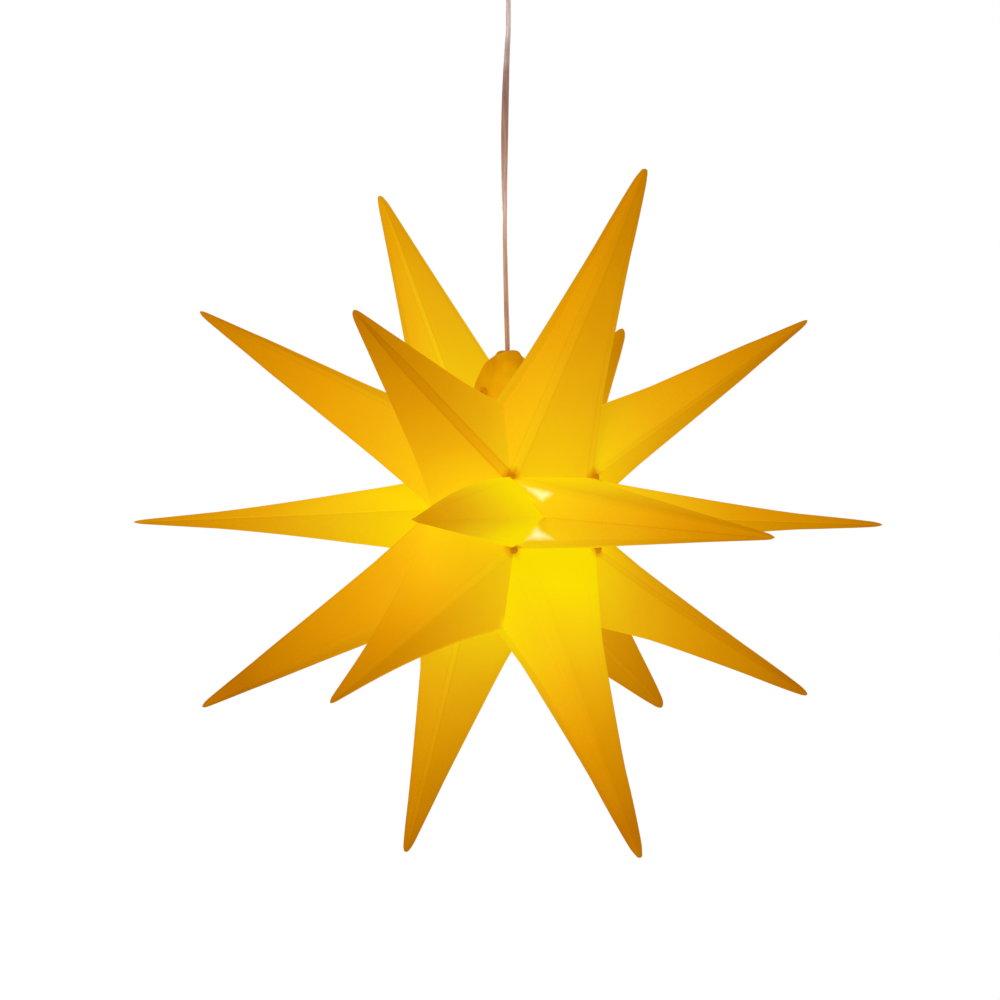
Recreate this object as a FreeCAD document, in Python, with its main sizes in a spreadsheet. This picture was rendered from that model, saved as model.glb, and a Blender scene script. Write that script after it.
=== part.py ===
import FreeCAD, Part
import math
import os
import re
import Sketcher

# Hanging star light: eighteen hollow film points round a small screw lamp, on a flat twin cord from a
# ceiling cup. The origin is the middle of the mounting plate's top face, which lies on the ceiling. Z is up,
# X runs along the fold spine of the film star, and -Y is its front.

doc = FreeCAD.newDocument("star_light")
sheet = doc.addObject("Spreadsheet::Sheet", "Sizes")

# Driving sizes in millimetres, angles in degrees, and shares: one line of the sheet for each.
SIZES = {
    # film star
    "star_drop": 445.0,
    "star_reach": 285.0,
    "side_reach": 275.0,
    "side_angle": 53.5,
    "corner_radius": 70.0,
    "corner_angle": 35.0,
    "valley_radius": 104.0,
    "valley_angle": 26.0,
    "pole_radius": 72.0,
    "low_fold_angle": 6.0,
    "leaf_gap": 0.3,
    "film": 0.4,
    "tip_overshoot": 17.0,
    "tip_blunt_share": 0.075,
    # rivets in the corners and at the two ends of the spine
    "rivet_stem_radius": 1.2,
    "rivet_head_radius": 2.6,
    "rivet_tail_radius": 2.2,
    "rivet_seat": 5.4,
    "rivet_clearance": 0.3,
    # closing tabs and their press studs
    "tab_radius": 33.0,
    "tab_height": 88.0,
    "tab_film": 0.8,
    "tab_clearance": 0.3,
    "tab_fold_rise": 2.0,
    "stud_spread": 26.0,
    "stud_rise": 4.0,
    "stud_post_radius": 1.4,
    "stud_head_radius": 3.4,
    "stud_head_thickness": 1.4,
    "stud_socket_radius": 3.0,
    "stud_socket_thickness": 1.8,
    "stud_clearance": 0.1,
    # lampholder
    "holder_radius": 14.0,
    "holder_wall": 1.8,
    "holder_height": 46.0,
    "holder_bottom": 46.0,
    "thread_depth": 0.6,
    "thread_height": 14.0,
    "cap_height": 18.0,
    "cap_shoulder": 8.0,
    "cap_top_radius": 8.0,
    "cap_fillet": 4.0,
    "ring_radius": 19.5,
    "ring_height": 9.0,
    "ring_top": 56.0,
    "ring_groove_radius": 1.0,
    "ring_groove_count": 18,
    "insert_height": 10.0,
    "liner_radius": 8.0,
    "liner_wall": 0.5,
    "liner_height": 20.0,
    "contact_radius": 2.6,
    "contact_height": 1.6,
    "holder_screw_radius": 1.5,
    "holder_screw_length": 7.0,
    "holder_screw_proud": 2.0,
    "holder_screw_spread": 7.0,
    "grip_radius": 5.0,
    "grip_shank": 6.0,
    "grip_head_radius": 6.5,
    "grip_head_height": 7.0,
    "grip_bore_radius": 3.0,
    "grip_chamfer": 1.5,
    # lamp with a screw cap
    "shell_radius": 7.0,
    "shell_wall": 0.5,
    "shell_height": 17.0,
    "shell_bottom": 58.0,
    "shell_lap": 4.0,
    "insulator_height": 4.0,
    "insulator_radius": 3.4,
    "button_radius": 2.2,
    "button_height": 1.2,
    "lamp_neck_radius": 10.5,
    "lamp_shoulder_radius": 16.0,
    "lamp_body_height": 26.0,
    "lamp_neck_height": 12.0,
    "lamp_wall": 1.5,
    "globe_radius": 22.5,
    "globe_wall": 1.2,
    "board_radius": 13.6,
    "board_thickness": 1.2,
    "chip_size": 3.0,
    "chip_thickness": 0.8,
    "chip_count": 6,
    "chip_circle": 8.5,
    # flat twin cord
    "cord_width": 5.4,
    "cord_thickness": 3.2,
    "bend_length": 12.0,
    "swing_gap": 0.9,
    # ceiling cup and what it hides
    "cup_radius": 31.0,
    "cup_height": 46.0,
    "cup_wall": 1.5,
    "cup_straight": 16.0,
    "cup_collar_radius": 7.5,
    "cup_collar_height": 7.0,
    "cup_fillet": 12.0,
    "cup_bore_radius": 3.2,
    "cup_screw_radius": 1.5,
    "cup_screw_proud": 1.5,
    "cup_travel": 30.0,
    "plate_radius": 28.0,
    "plate_thickness": 2.5,
    "supply_radius": 5.0,
    "mount_hole_radius": 2.25,
    "mount_spacing": 40.0,
    "bracket_width": 25.0,
    "bracket_depth": 10.0,
    "bracket_height": 26.0,
    "bracket_strip": 1.5,
    "block_width": 15.0,
    "block_depth": 9.0,
    "block_height": 12.0,
    "sleeve_radius": 2.2,
    "sleeve_bore_radius": 1.5,
    "sleeve_spread": 3.6,
    "terminal_screw_radius": 1.2,
    "terminal_screw_pitch": 6.0,
    "stop_radius": 5.5,
    "stop_height": 6.0,
    "stop_screw_radius": 1.2,
    "stop_screw_proud": 1.0,
    "fit_clearance": 0.1,
    "overrun": 1.0,
}
LEAF_STEP_ANGLE = 60.0
FULL_ANGLE = 360.0
SAME_PLACE = 1e-4

for row, (alias, value) in enumerate(SIZES.items(), start=1):
    sheet.set(f"A{row}", alias)
    sheet.set(f"B{row}", str(value))
    sheet.setAlias(f"B{row}", alias)
doc.recompute()

finished = []


def size(alias):
    """Value of one named cell."""
    return float(sheet.get(alias))


def cells(text):
    """Expression with the sheet's name put before each alias."""
    return re.sub("[a-z_]+", lambda word: ("Sizes." if word.group() in SIZES else "") + word.group(), text)


def bound(kind, name, **settings):
    """Document object whose properties follow the sheet; a double underscore stands for a point."""
    item = doc.addObject(kind, name)
    for path, text in settings.items():
        item.setExpression(path.replace("__", "."), cells(text))
    return item


def keep(item, label):
    """Marks an object as a finished sub-part with its own name."""
    item.Label = label
    finished.append(item)
    return item


def cut(name, base, tool):
    """Base solid less a tool."""
    item = doc.addObject("Part::Cut", name)
    item.Base = base
    item.Tool = tool
    return item


def fuse(name, *shapes):
    """Several solids joined into one."""
    item = doc.addObject("Part::MultiFuse", name)
    item.Shapes = list(shapes)
    item.Refine = True
    return item


def common(name, *shapes):
    """What several solids share."""
    item = doc.addObject("Part::MultiCommon", name)
    item.Shapes = list(shapes)
    return item


def group(name, *links):
    """Like pieces kept together as separate solids."""
    item = doc.addObject("Part::Compound", name)
    item.Links = list(links)
    return item


def rod(name, radius, length, up, across="0", along="0"):
    """Upright cylinder on a place given by expressions."""
    return bound("Part::Cylinder", name, Radius=radius, Height=length, Placement__Base__x=across,
                 Placement__Base__y=along, Placement__Base__z=up)


def level_rod(name, radius, length, front, up, across="0"):
    """Cylinder that runs level from its front end towards +Y."""
    item = rod(name, radius, length, up, across, front)
    turn = FreeCAD.Rotation(FreeCAD.Vector(0, 0, 1), FreeCAD.Vector(0, 1, 0))
    item.Placement = FreeCAD.Placement(item.Placement.Base, turn)
    return item


def box(name, width, depth, height, bottom, middle_y="0"):
    """Box centred on the Z axis in plan, or off it along Y."""
    return bound("Part::Box", name, Length=width, Width=depth, Height=height,
                 Placement__Base__x=f"(0 - {width}) / 2",
                 Placement__Base__y=f"{middle_y} - ({depth}) / 2", Placement__Base__z=bottom)


def turned(label, outline, bottom, fillets=()):
    """Body turned round Z from an outline of (radius, height) texts, with heights from its own bottom."""
    body = doc.addObject("PartDesign::Body", label)
    sketch = body.newObject("Sketcher::SketchObject", label + "_outline")
    plane = [item for item in body.Origin.OriginFeatures if item.Role == "XZ_Plane"][0]
    sketch.AttachmentSupport = [(plane, "")]
    sketch.MapMode = "FlatFace"
    count = len(outline)
    loose = [FreeCAD.Vector(1 + place, 1 + place * place, 0) for place in range(count)]
    for place in range(count):
        sketch.addGeometry(Part.LineSegment(loose[place], loose[(place + 1) % count]), False)
    for place in range(count):
        sketch.addConstraint(Sketcher.Constraint("Coincident", place, 2, (place + 1) % count, 1))
    for place, (across, up) in enumerate(outline):
        for kind, axis, text, start in (("DistanceX", -2, across, loose[place].x),
                                        ("DistanceY", -1, up, loose[place].y)):
            if text == "0":
                sketch.addConstraint(Sketcher.Constraint("PointOnObject", place, 1, axis))
            else:
                number = sketch.addConstraint(Sketcher.Constraint(kind, -1, 1, place, 1, start))
                sketch.setExpression(f"Constraints[{number}]", cells(text))
    doc.recompute()
    spin = body.newObject("PartDesign::Revolution", label + "_turn")
    spin.Profile = sketch
    spin.ReferenceAxis = (sketch, ["V_Axis"])
    spin.Angle = FULL_ANGLE
    doc.recompute()
    for number, (corner, radius) in enumerate(fillets):
        here = sketch.Geometry[corner].StartPoint
        rings = [f"Edge{place}" for place, edge in enumerate(body.Tip.Shape.Edges, start=1)
                 if abs(edge.BoundBox.XMax - here.x) < SAME_PLACE
                 and abs(edge.BoundBox.ZMax - here.y) < SAME_PLACE and edge.BoundBox.ZLength < SAME_PLACE]
        base = body.Tip
        fillet = body.newObject("PartDesign::Fillet", f"{label}_fillet_{number}")
        fillet.Base = (base, rings)
        fillet.setExpression("Radius", cells(radius))
        body.Tip = fillet
        doc.recompute()
    body.setExpression("Placement.Base.z", cells(bottom))
    return body


# Mounting plate: a disc with two holes for the ceiling's own screws and one for the supply wires.
THROUGH_PLATE = "plate_thickness + 2 * overrun"
UNDER_PLATE = "0 - plate_thickness - overrun"
plate_disc = rod("plate_disc", "plate_radius", "plate_thickness", "0 - plate_thickness")
supply_hole = rod("supply_hole", "supply_radius", THROUGH_PLATE, UNDER_PLATE)
left_hole = rod("left_hole", "mount_hole_radius", THROUGH_PLATE, UNDER_PLATE, "0 - mount_spacing / 2")
right_hole = rod("right_hole", "mount_hole_radius", THROUGH_PLATE, UNDER_PLATE, "mount_spacing / 2")
keep(cut("plate", plate_disc, fuse("plate_holes", supply_hole, left_hole, right_hole)), "ceiling_plate")

# Bracket: a folded strip under the plate. The supply comes in at its top and the cord leaves at its bottom.
BRACKET_BOTTOM = "0 - plate_thickness - bracket_height"
BRACKET_FLOOR = BRACKET_BOTTOM + " + bracket_strip"
BRACKET_ROOF = "0 - plate_thickness - bracket_strip"
frame_outer = box("frame_outer", "bracket_width", "bracket_depth", "bracket_height", BRACKET_BOTTOM)
frame_inner = box("frame_inner", "bracket_width - 2 * bracket_strip", "bracket_depth + 2 * overrun",
                  "bracket_height - 2 * bracket_strip", BRACKET_FLOOR)
frame_supply = rod("frame_supply", "supply_radius - overrun", "bracket_strip + 2 * overrun",
                   BRACKET_ROOF + " - overrun")
frame_exit = rod("frame_exit", "cup_bore_radius", "bracket_strip + 2 * overrun",
                 BRACKET_BOTTOM + " - overrun")
bracket_holes = fuse("bracket_holes", frame_inner, frame_supply, frame_exit)
keep(cut("bracket", frame_outer, bracket_holes), "cord_bracket")

# Terminal block: two brass sleeves in a plastic block, with two screws into each from the front.
BLOCK_BOTTOM = BRACKET_ROOF + " - block_height"
BLOCK_FRONT = "0 - block_depth / 2"
sleeve_holes = []
sleeves = []
screw_holes = []
terminal_screws = []
for side, sign in (("left", "0 - "), ("right", "")):
    place = sign + "sleeve_spread"
    sleeve_holes.append(rod(f"sleeve_hole_{side}", "sleeve_radius", "block_height + 2 * overrun",
                            BLOCK_BOTTOM + " - overrun", place))
    sleeve_bar = rod(f"sleeve_bar_{side}", "sleeve_radius - fit_clearance", "block_height", BLOCK_BOTTOM,
                     place)
    sleeve_bore = rod(f"sleeve_bore_{side}", "sleeve_bore_radius", "block_height + 2 * overrun",
                      BLOCK_BOTTOM + " - overrun", place)
    sleeves.append(cut(f"sleeve_{side}", sleeve_bar, sleeve_bore))
    for level, shift in (("low", "- terminal_screw_pitch / 2"), ("high", "+ terminal_screw_pitch / 2")):
        middle = f"{BLOCK_BOTTOM} + block_height / 2 {shift}"
        screw_holes.append(level_rod(f"screw_hole_{side}_{level}", "terminal_screw_radius",
                                     "block_depth / 2 + overrun", BLOCK_FRONT + " - overrun", middle, place))
        terminal_screws.append(level_rod(f"terminal_screw_{side}_{level}",
                                         "terminal_screw_radius - fit_clearance",
                                         "block_depth / 2 - sleeve_bore_radius", BLOCK_FRONT, middle, place))
screw_hole_group = fuse("screw_hole_group", *screw_holes)
block_body = box("block_body", "block_width", "block_depth", "block_height", BLOCK_BOTTOM)
keep(cut("block_bored", block_body, fuse("block_holes", screw_hole_group, *sleeve_holes)), "terminal_block")
keep(cut("sleeves_bored", group("sleeve_pair", *sleeves), screw_hole_group), "terminal_sleeves")
keep(group("terminal_screw_set", *terminal_screws), "terminal_screws")

# Cord stop: a ring clamped on the cord by a screw. It rests on the bracket and carries the lamp's weight.
STOP_SCREW_HEIGHT = BRACKET_FLOOR + " + stop_height / 2"
stop_ring = rod("stop_ring", "stop_radius", "stop_height", BRACKET_FLOOR)
stop_bore = rod("stop_bore", "cord_width / 2 + fit_clearance", "stop_height + 2 * overrun",
                BRACKET_FLOOR + " - overrun")
stop_hole = level_rod("stop_hole", "stop_screw_radius", "stop_radius + overrun",
                      "0 - stop_radius - overrun", STOP_SCREW_HEIGHT, "0")
keep(cut("stop", stop_ring, fuse("stop_holes", stop_bore, stop_hole)), "cord_stop")
keep(level_rod("stop_grub", "stop_screw_radius - fit_clearance",
               "stop_radius + stop_screw_proud - cord_thickness / 2 - fit_clearance",
               "0 - stop_radius - stop_screw_proud", STOP_SCREW_HEIGHT), "stop_screw")

# Ceiling cup: a thin turned cover that slides on the cord, held by a screw in its collar.
CUP_BOTTOM = "0 - cup_height"
cup_shell = turned("cup_shell", (
    ("cup_bore_radius", "0"),
    ("cup_collar_radius", "0"),
    ("cup_collar_radius", "cup_collar_height"),
    ("cup_radius", "cup_height - cup_straight"),
    ("cup_radius", "cup_height"),
    ("cup_radius - cup_wall", "cup_height"),
    ("cup_radius - cup_wall", "cup_height - cup_straight"),
    ("cup_collar_radius - cup_wall", "cup_collar_height + cup_wall"),
    ("cup_bore_radius", "cup_collar_height + cup_wall"),
), CUP_BOTTOM, ((3, "cup_fillet"), (6, "cup_fillet - cup_wall")))
CUP_SCREW_HEIGHT = CUP_BOTTOM + " + cup_collar_height / 2"
cup_hole = level_rod("cup_hole", "cup_screw_radius", "cup_collar_radius + overrun",
                     "0 - cup_collar_radius - overrun", CUP_SCREW_HEIGHT)
keep(cut("cup", cup_shell, cup_hole), "ceiling_cup")
keep(level_rod("cup_grub", "cup_screw_radius - fit_clearance",
               "cup_collar_radius + cup_screw_proud - cord_thickness / 2 - fit_clearance",
               "0 - cup_collar_radius - cup_screw_proud", CUP_SCREW_HEIGHT), "cup_screw")


def twin_cord(label, bottom, length):
    """Straight stretch of the flat twin cord: two round cores side by side, run together in the middle."""
    offset = "(cord_width - cord_thickness) / 2"
    left = rod(label + "_left", "cord_thickness / 2", length, bottom, "0 - " + offset)
    right = rod(label + "_right", "cord_thickness / 2", length, bottom, offset)
    return keep(fuse(label + "_pair", left, right), label)


# Cord: the lead that the cup slides down on, a short stretch that bends, and the long stretch to the lamp.
GRIP_BOTTOM = "holder_bottom + holder_height + cap_height - grip_shank - star_drop"
LEAD_BOTTOM = CUP_BOTTOM + " - cup_travel - swing_gap"
twin_cord("lead_cord", LEAD_BOTTOM, f"{BLOCK_BOTTOM} - ({LEAD_BOTTOM})")
BEND_BOTTOM = LEAD_BOTTOM + " - swing_gap - bend_length"
twin_cord("bend_cord", BEND_BOTTOM, "bend_length")
twin_cord("hanging_cord", GRIP_BOTTOM, f"{BEND_BOTTOM} - swing_gap - ({GRIP_BOTTOM})")

# Lampholder: a tubular skirt with a thread outside, a domed cap, and the cord's screwed grip on top.
SKIRT_BOTTOM = "holder_bottom - star_drop"
SKIRT_TOP = "holder_bottom + holder_height - star_drop"
CAP_TOP = SKIRT_TOP + " + cap_height"
keep(turned("skirt", (
    ("holder_radius - holder_wall", "0"),
    ("holder_radius", "0"),
    ("holder_radius", "thread_height"),
    ("holder_radius - thread_depth", "thread_height"),
    ("holder_radius - thread_depth", "holder_height"),
    ("holder_radius - holder_wall", "holder_height"),
), SKIRT_BOTTOM), "holder_skirt")
keep(turned("cap", (
    ("holder_radius - holder_wall", "0"),
    ("holder_radius", "0"),
    ("holder_radius", "cap_shoulder"),
    ("cap_top_radius", "cap_height"),
    ("grip_radius + fit_clearance", "cap_height"),
    ("grip_radius + fit_clearance", "cap_height - holder_wall"),
    ("cap_top_radius - holder_wall", "cap_height - holder_wall"),
    ("holder_radius - holder_wall", "cap_shoulder"),
), SKIRT_TOP, ((2, "cap_fillet"),)), "holder_cap")
keep(turned("grip", (
    ("grip_bore_radius", "0"),
    ("grip_radius", "0"),
    ("grip_radius", "grip_shank"),
    ("grip_head_radius", "grip_shank"),
    ("grip_head_radius", "grip_shank + grip_head_height - grip_chamfer"),
    ("grip_head_radius - grip_chamfer", "grip_shank + grip_head_height"),
    ("grip_bore_radius", "grip_shank + grip_head_height"),
), GRIP_BOTTOM), "cord_grip")

# Shade ring: screws up the skirt under the closing tabs and carries the star.
RING_BOTTOM = "ring_top - ring_height - star_drop"
ring_body = turned("ring_body", (
    ("holder_radius + fit_clearance", "0"),
    ("ring_radius", "0"),
    ("ring_radius", "ring_height"),
    ("holder_radius + fit_clearance", "ring_height"),
), RING_BOTTOM)
grooves = []
for place in range(int(size("ring_groove_count"))):
    groove = rod(f"groove_{place}", "ring_groove_radius", "ring_height + 2 * overrun",
                 RING_BOTTOM + " - overrun")
    angle = f"{place} * {FULL_ANGLE} / ring_groove_count"
    groove.setExpression("Placement.Base.x", cells(f"ring_radius * cos({angle})"))
    groove.setExpression("Placement.Base.y", cells(f"ring_radius * sin({angle})"))
    grooves.append(groove)
keep(cut("ring_grooved", ring_body, group("ring_grooves", *grooves)), "shade_ring")

# Contacts: an insulating insert under the cap, a threaded brass liner, a middle contact and two screws.
INSERT_BOTTOM = SKIRT_TOP + " - insert_height"
SCREW_BOTTOM = SKIRT_TOP + " + holder_screw_proud - holder_screw_length"
insert_disc = rod("insert_disc", "holder_radius - holder_wall - fit_clearance", "insert_height",
                  INSERT_BOTTOM)
insert_holes = []
holder_screws = []
for side, sign in (("left", "0 - "), ("right", "")):
    place = sign + "holder_screw_spread"
    insert_holes.append(rod(f"insert_hole_{side}", "holder_screw_radius + fit_clearance",
                            "holder_screw_length + overrun", SCREW_BOTTOM, place))
    holder_screws.append(rod(f"holder_screw_{side}", "holder_screw_radius", "holder_screw_length",
                             SCREW_BOTTOM, place))
keep(cut("insert", insert_disc, group("insert_holes", *insert_holes)), "contact_insert")
keep(group("holder_screw_pair", *holder_screws), "holder_screws")
LINER_BOTTOM = INSERT_BOTTOM + " - liner_height"
liner_outside = rod("liner_outside", "liner_radius", "liner_height", LINER_BOTTOM)
liner_inside = rod("liner_inside", "liner_radius - liner_wall", "liner_height + 2 * overrun",
                   LINER_BOTTOM + " - overrun")
keep(cut("liner", liner_outside, liner_inside), "side_contact")
keep(rod("middle_contact", "contact_radius", "contact_height", INSERT_BOTTOM + " - contact_height"),
     "centre_contact")

# Lamp: screw shell, insulator and end button, plastic body, diffusing globe, board and light-emitting chips.
SHELL_BOTTOM = "shell_bottom - star_drop"
SHELL_TOP = SHELL_BOTTOM + " + shell_height"
LAMP_BOTTOM = SHELL_BOTTOM + " + shell_lap - lamp_body_height"
shell_outside = rod("shell_outside", "shell_radius", "shell_height", SHELL_BOTTOM)
shell_inside = rod("shell_inside", "shell_radius - shell_wall", "shell_height + 2 * overrun",
                   SHELL_BOTTOM + " - overrun")
keep(cut("shell", shell_outside, shell_inside), "lamp_shell")
keep(turned("insulator", (
    ("0", "0"),
    ("shell_radius", "0"),
    ("insulator_radius", "insulator_height"),
    ("0", "insulator_height"),
), SHELL_TOP), "lamp_insulator")
keep(rod("button", "button_radius", "button_height", SHELL_TOP + " + insulator_height"), "lamp_button")
NECK_TOP = "lamp_body_height - shell_lap"
SPIGOT = "shell_radius - shell_wall - fit_clearance"
keep(turned("body_turned", (
    ("lamp_shoulder_radius - lamp_wall", "0"),
    ("lamp_shoulder_radius", "0"),
    ("lamp_neck_radius", f"{NECK_TOP} - lamp_neck_height"),
    ("lamp_neck_radius", NECK_TOP),
    (SPIGOT, NECK_TOP),
    (SPIGOT, "lamp_body_height"),
    (SPIGOT + " - lamp_wall", "lamp_body_height"),
    (SPIGOT + " - lamp_wall", f"{NECK_TOP} - lamp_wall"),
    ("lamp_neck_radius - lamp_wall", f"{NECK_TOP} - lamp_wall"),
    ("lamp_neck_radius - lamp_wall", f"{NECK_TOP} - lamp_neck_height"),
), LAMP_BOTTOM), "lamp_body")
GLOBE_MIDDLE = LAMP_BOTTOM + " - sqrt(globe_radius ^ 2 - lamp_shoulder_radius ^ 2)"
globe_outside = bound("Part::Sphere", "globe_outside", Radius="globe_radius",
                      Placement__Base__z=GLOBE_MIDDLE)
globe_inside = bound("Part::Sphere", "globe_inside", Radius="globe_radius - globe_wall",
                     Placement__Base__z=GLOBE_MIDDLE)
globe_mouth = rod("globe_mouth", "globe_radius + overrun", "globe_radius + overrun", LAMP_BOTTOM)
keep(cut("globe", globe_outside, fuse("globe_hollow", globe_inside, globe_mouth)), "lamp_globe")
keep(rod("board", "board_radius", "board_thickness", LAMP_BOTTOM), "lamp_board")
chips = []
for place in range(int(size("chip_count"))):
    angle = f"{place} * {FULL_ANGLE} / chip_count"
    chip = box(f"chip_{place}", "chip_size", "chip_size", "chip_thickness",
               LAMP_BOTTOM + " - chip_thickness")
    chip.setExpression("Placement.Base.x", cells(f"chip_circle * cos({angle}) - chip_size / 2"))
    chip.setExpression("Placement.Base.y", cells(f"chip_circle * sin({angle}) - chip_size / 2"))
    chips.append(chip)
keep(group("chip_ring", *chips), "lamp_chips")

# Closing tabs: two round tongues that clasp the lampholder between them, each with a half-round channel.
TAB_MIDDLE = "tab_height - star_drop"
CHANNEL = "holder_radius + tab_clearance"
CHANNEL_BOTTOM = "ring_top + tab_clearance - star_drop"
TAB_FOLD = CHANNEL_BOTTOM + " + tab_fold_rise + tab_film"
STUD_HEIGHT = TAB_MIDDLE + " + stud_rise"
DEEP = f"2 * ({CHANNEL} + tab_film + overrun)"
for label, sign in (("closing_tab_front", -1), ("closing_tab_back", 1)):
    inner_face = "leaf_gap / 2"
    plate_middle = f"{sign} * ({inner_face} + tab_film / 2)"
    plate_box = box(label + "_sheet", "2 * tab_radius", "tab_film", "2 * tab_radius", TAB_FOLD, plate_middle)
    tube_outside = rod(label + "_tube_outside", CHANNEL + " + tab_film", "2 * tab_radius", CHANNEL_BOTTOM)
    tube_inside = rod(label + "_tube_inside", CHANNEL, "2 * (tab_radius + overrun)",
                      CHANNEL_BOTTOM + " - overrun")
    half_box = box(label + "_half", f"2 * ({CHANNEL} + tab_film)", f"{CHANNEL} + tab_film", "2 * tab_radius",
                   CHANNEL_BOTTOM, f"{sign} * ({inner_face} + ({CHANNEL} + tab_film) / 2)")
    disc = level_rod(label + "_disc", "tab_radius", DEEP, f"0 - {DEEP} / 2", TAB_MIDDLE)
    solid = fuse(label + "_joined", plate_box, common(label + "_bulge", tube_outside, half_box))
    round_tab = common(label + "_round", solid, disc)
    stud_holes = [level_rod(f"{label}_hole_{side}", "stud_post_radius + stud_clearance", DEEP,
                            f"0 - {DEEP} / 2", STUD_HEIGHT, place)
                  for side, place in (("left", "0 - stud_spread"), ("right", "stud_spread"))]
    keep(cut(label + "_cut", round_tab, fuse(label + "_hollows", tube_inside, *stud_holes)), label)

# Press studs: a cap with its post in front, and a socket behind, on each side of the lampholder.
TAB_FACE = "leaf_gap / 2 + tab_film"
caps = []
sockets = []
for side, place in (("left", "0 - stud_spread"), ("right", "stud_spread")):
    head = level_rod(f"stud_head_{side}", "stud_head_radius", "stud_head_thickness",
                     f"0 - ({TAB_FACE}) - stud_head_thickness", STUD_HEIGHT, place)
    post = level_rod(f"stud_post_{side}", "stud_post_radius",
                     f"2 * ({TAB_FACE}) + stud_socket_thickness / 2",
                     f"0 - ({TAB_FACE})", STUD_HEIGHT, place)
    caps.append(fuse(f"stud_cap_{side}", head, post))
    socket = level_rod(f"stud_socket_{side}", "stud_socket_radius", "stud_socket_thickness", TAB_FACE,
                       STUD_HEIGHT, place)
    pit = level_rod(f"stud_pit_{side}", "stud_post_radius + stud_clearance",
                    "stud_socket_thickness / 2 + stud_clearance + overrun", f"{TAB_FACE} - overrun",
                    STUD_HEIGHT, place)
    sockets.append(cut(f"stud_bored_{side}", socket, pit))
keep(group("stud_cap_pair", *caps), "stud_caps")
keep(group("stud_socket_pair", *sockets), "stud_sockets")
doc.recompute()

# Star leaves. Each is two film sheets welded along the outline of half a six-pointed star, and opened out
# between the folds to its neighbours. A leaf has a near point on the -X side, a middle and a far one. Thin
# film doesn't hang evenly: each tip leans by a few degrees of latitude and longitude, and the fold under the
# front leaf is drawn up.
LEAF_ANGLES = {
    "leaf_front": (0, (1.0, -1.0), (0.5, -3.0), (3.5, -2.0)),
    "leaf_upper_front": (1, (-1.5, -1.5), (-2.5, 1.5), (3.0, -3.5)),
    "leaf_upper_back": (2, (-3.5, 3.5), (0.0, 1.5), (4.0, 6.0)),
    "leaf_back": (3, (2.0, 1.5), (-1.0, 1.0), (1.0, -1.0)),
    "leaf_lower_back": (4, (2.5, 2.0), (-2.0, 3.0), (0.0, 3.5)),
    "leaf_lower_front": (5, (3.5, 0.5), (0.5, 1.0), (-2.0, 1.5)),
}
POLE_ANGLE = 90.0
CLOSING_ANGLE = 90.0
LOW_FOLD_EVEN_ANGLE = 330.0


def star_point(latitude, longitude, radius):
    """Place on a sphere round the star's middle: latitude to the near side, longitude from front to top."""
    across = math.radians(latitude)
    around = math.radians(longitude)
    flat = radius * math.cos(across)
    return FreeCAD.Vector(-radius * math.sin(across), -flat * math.cos(around), flat * math.sin(around))


def fold_longitude(even):
    """Longitude of the fold between two leaves, from where it would be on an even star."""
    lift = size("low_fold_angle") if even % FULL_ANGLE == LOW_FOLD_EVEN_ANGLE else 0.0
    return even + lift


def panel(tip, apex, left, right):
    """Flat film between two ridges that run up to a tip, with a blunt end."""
    share = size("tip_blunt_share")
    left_end = apex + (left - apex) * share
    right_end = apex + (right - apex) * share
    return [(left, right, right_end, left_end), (left_end, right_end, tip)]


def skin(longitude, leans, gap_angle, rim, tip_wall):
    """Panels of one leaf's skin and its rim corners, drawn in from the outer face by the film."""
    tips = []
    for latitude, reach, (lean_across, lean_round) in (
            (size("side_angle"), size("side_reach"), leans[0]), (0.0, size("star_reach"), leans[1]),
            (-size("side_angle"), size("side_reach"), leans[2])):
        place = (latitude + lean_across, longitude + lean_round)
        tips.append((star_point(*place, reach - tip_wall),
                     star_point(*place, reach - tip_wall + size("tip_overshoot"))))
    near, middle, far = tips
    corner = size("corner_radius") - rim
    valleys = [star_point(side * size("valley_angle"), longitude, size("valley_radius") - rim)
               for side in (1, -1)]
    poles = [star_point(side * POLE_ANGLE, longitude, size("pole_radius") - rim) for side in (1, -1)]
    panels = []
    rims = []
    for turn in (1, -1):
        fold = fold_longitude(longitude + turn * LEAF_STEP_ANGLE / 2) - turn * gap_angle
        corners = [star_point(side * size("corner_angle"), fold, corner) for side in (1, -1)]
        half = panel(*middle, *corners)
        for tip, place in ((near, 0), (far, 1)):
            half += panel(*middle, valleys[place], corners[place])
            half += panel(*tip, valleys[place], corners[place])
            half += panel(*tip, corners[place], poles[place])
        panels += half
        rims.append([poles[0], corners[0], corners[1], poles[1]])
    return panels, rims


def flat_face(points):
    """Face through corners that lie in one plane."""
    return Part.Face(Part.makePolygon(list(points) + [points[0]]))


def leaf_shape(longitude, leans):
    """Thin closed solid of one leaf: outer skin, inner skin and the two rims along the folds."""
    fold_distance = size("corner_radius") * math.cos(math.radians(size("corner_angle")))
    gap_angle = math.degrees(size("leaf_gap") / 2 / fold_distance)
    rim = size("film") / math.sin(math.radians(LEAF_STEP_ANGLE / 2))
    taper = fold_distance * math.tan(math.radians(LEAF_STEP_ANGLE / 2)) / size("star_reach")
    outer, outer_rims = skin(longitude, leans, gap_angle, 0.0, 0.0)
    inner, inner_rims = skin(longitude, leans, gap_angle, rim, size("film") / taper)
    faces = [flat_face(points) for points in outer + inner]
    faces += [flat_face(outside + inside[::-1]) for outside, inside in zip(outer_rims, inner_rims)]
    shell = Part.makeShell(faces)
    solid = Part.makeSolid(shell)
    if solid.Volume < 0:
        solid.reverse()
    return solid


def hole_along(direction):
    """Round hole for a rivet's stem, from the star's middle outwards."""
    return Part.makeCylinder(size("rivet_stem_radius") + size("rivet_clearance"), size("star_reach"),
                             FreeCAD.Vector(0, 0, 0), direction)


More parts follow.
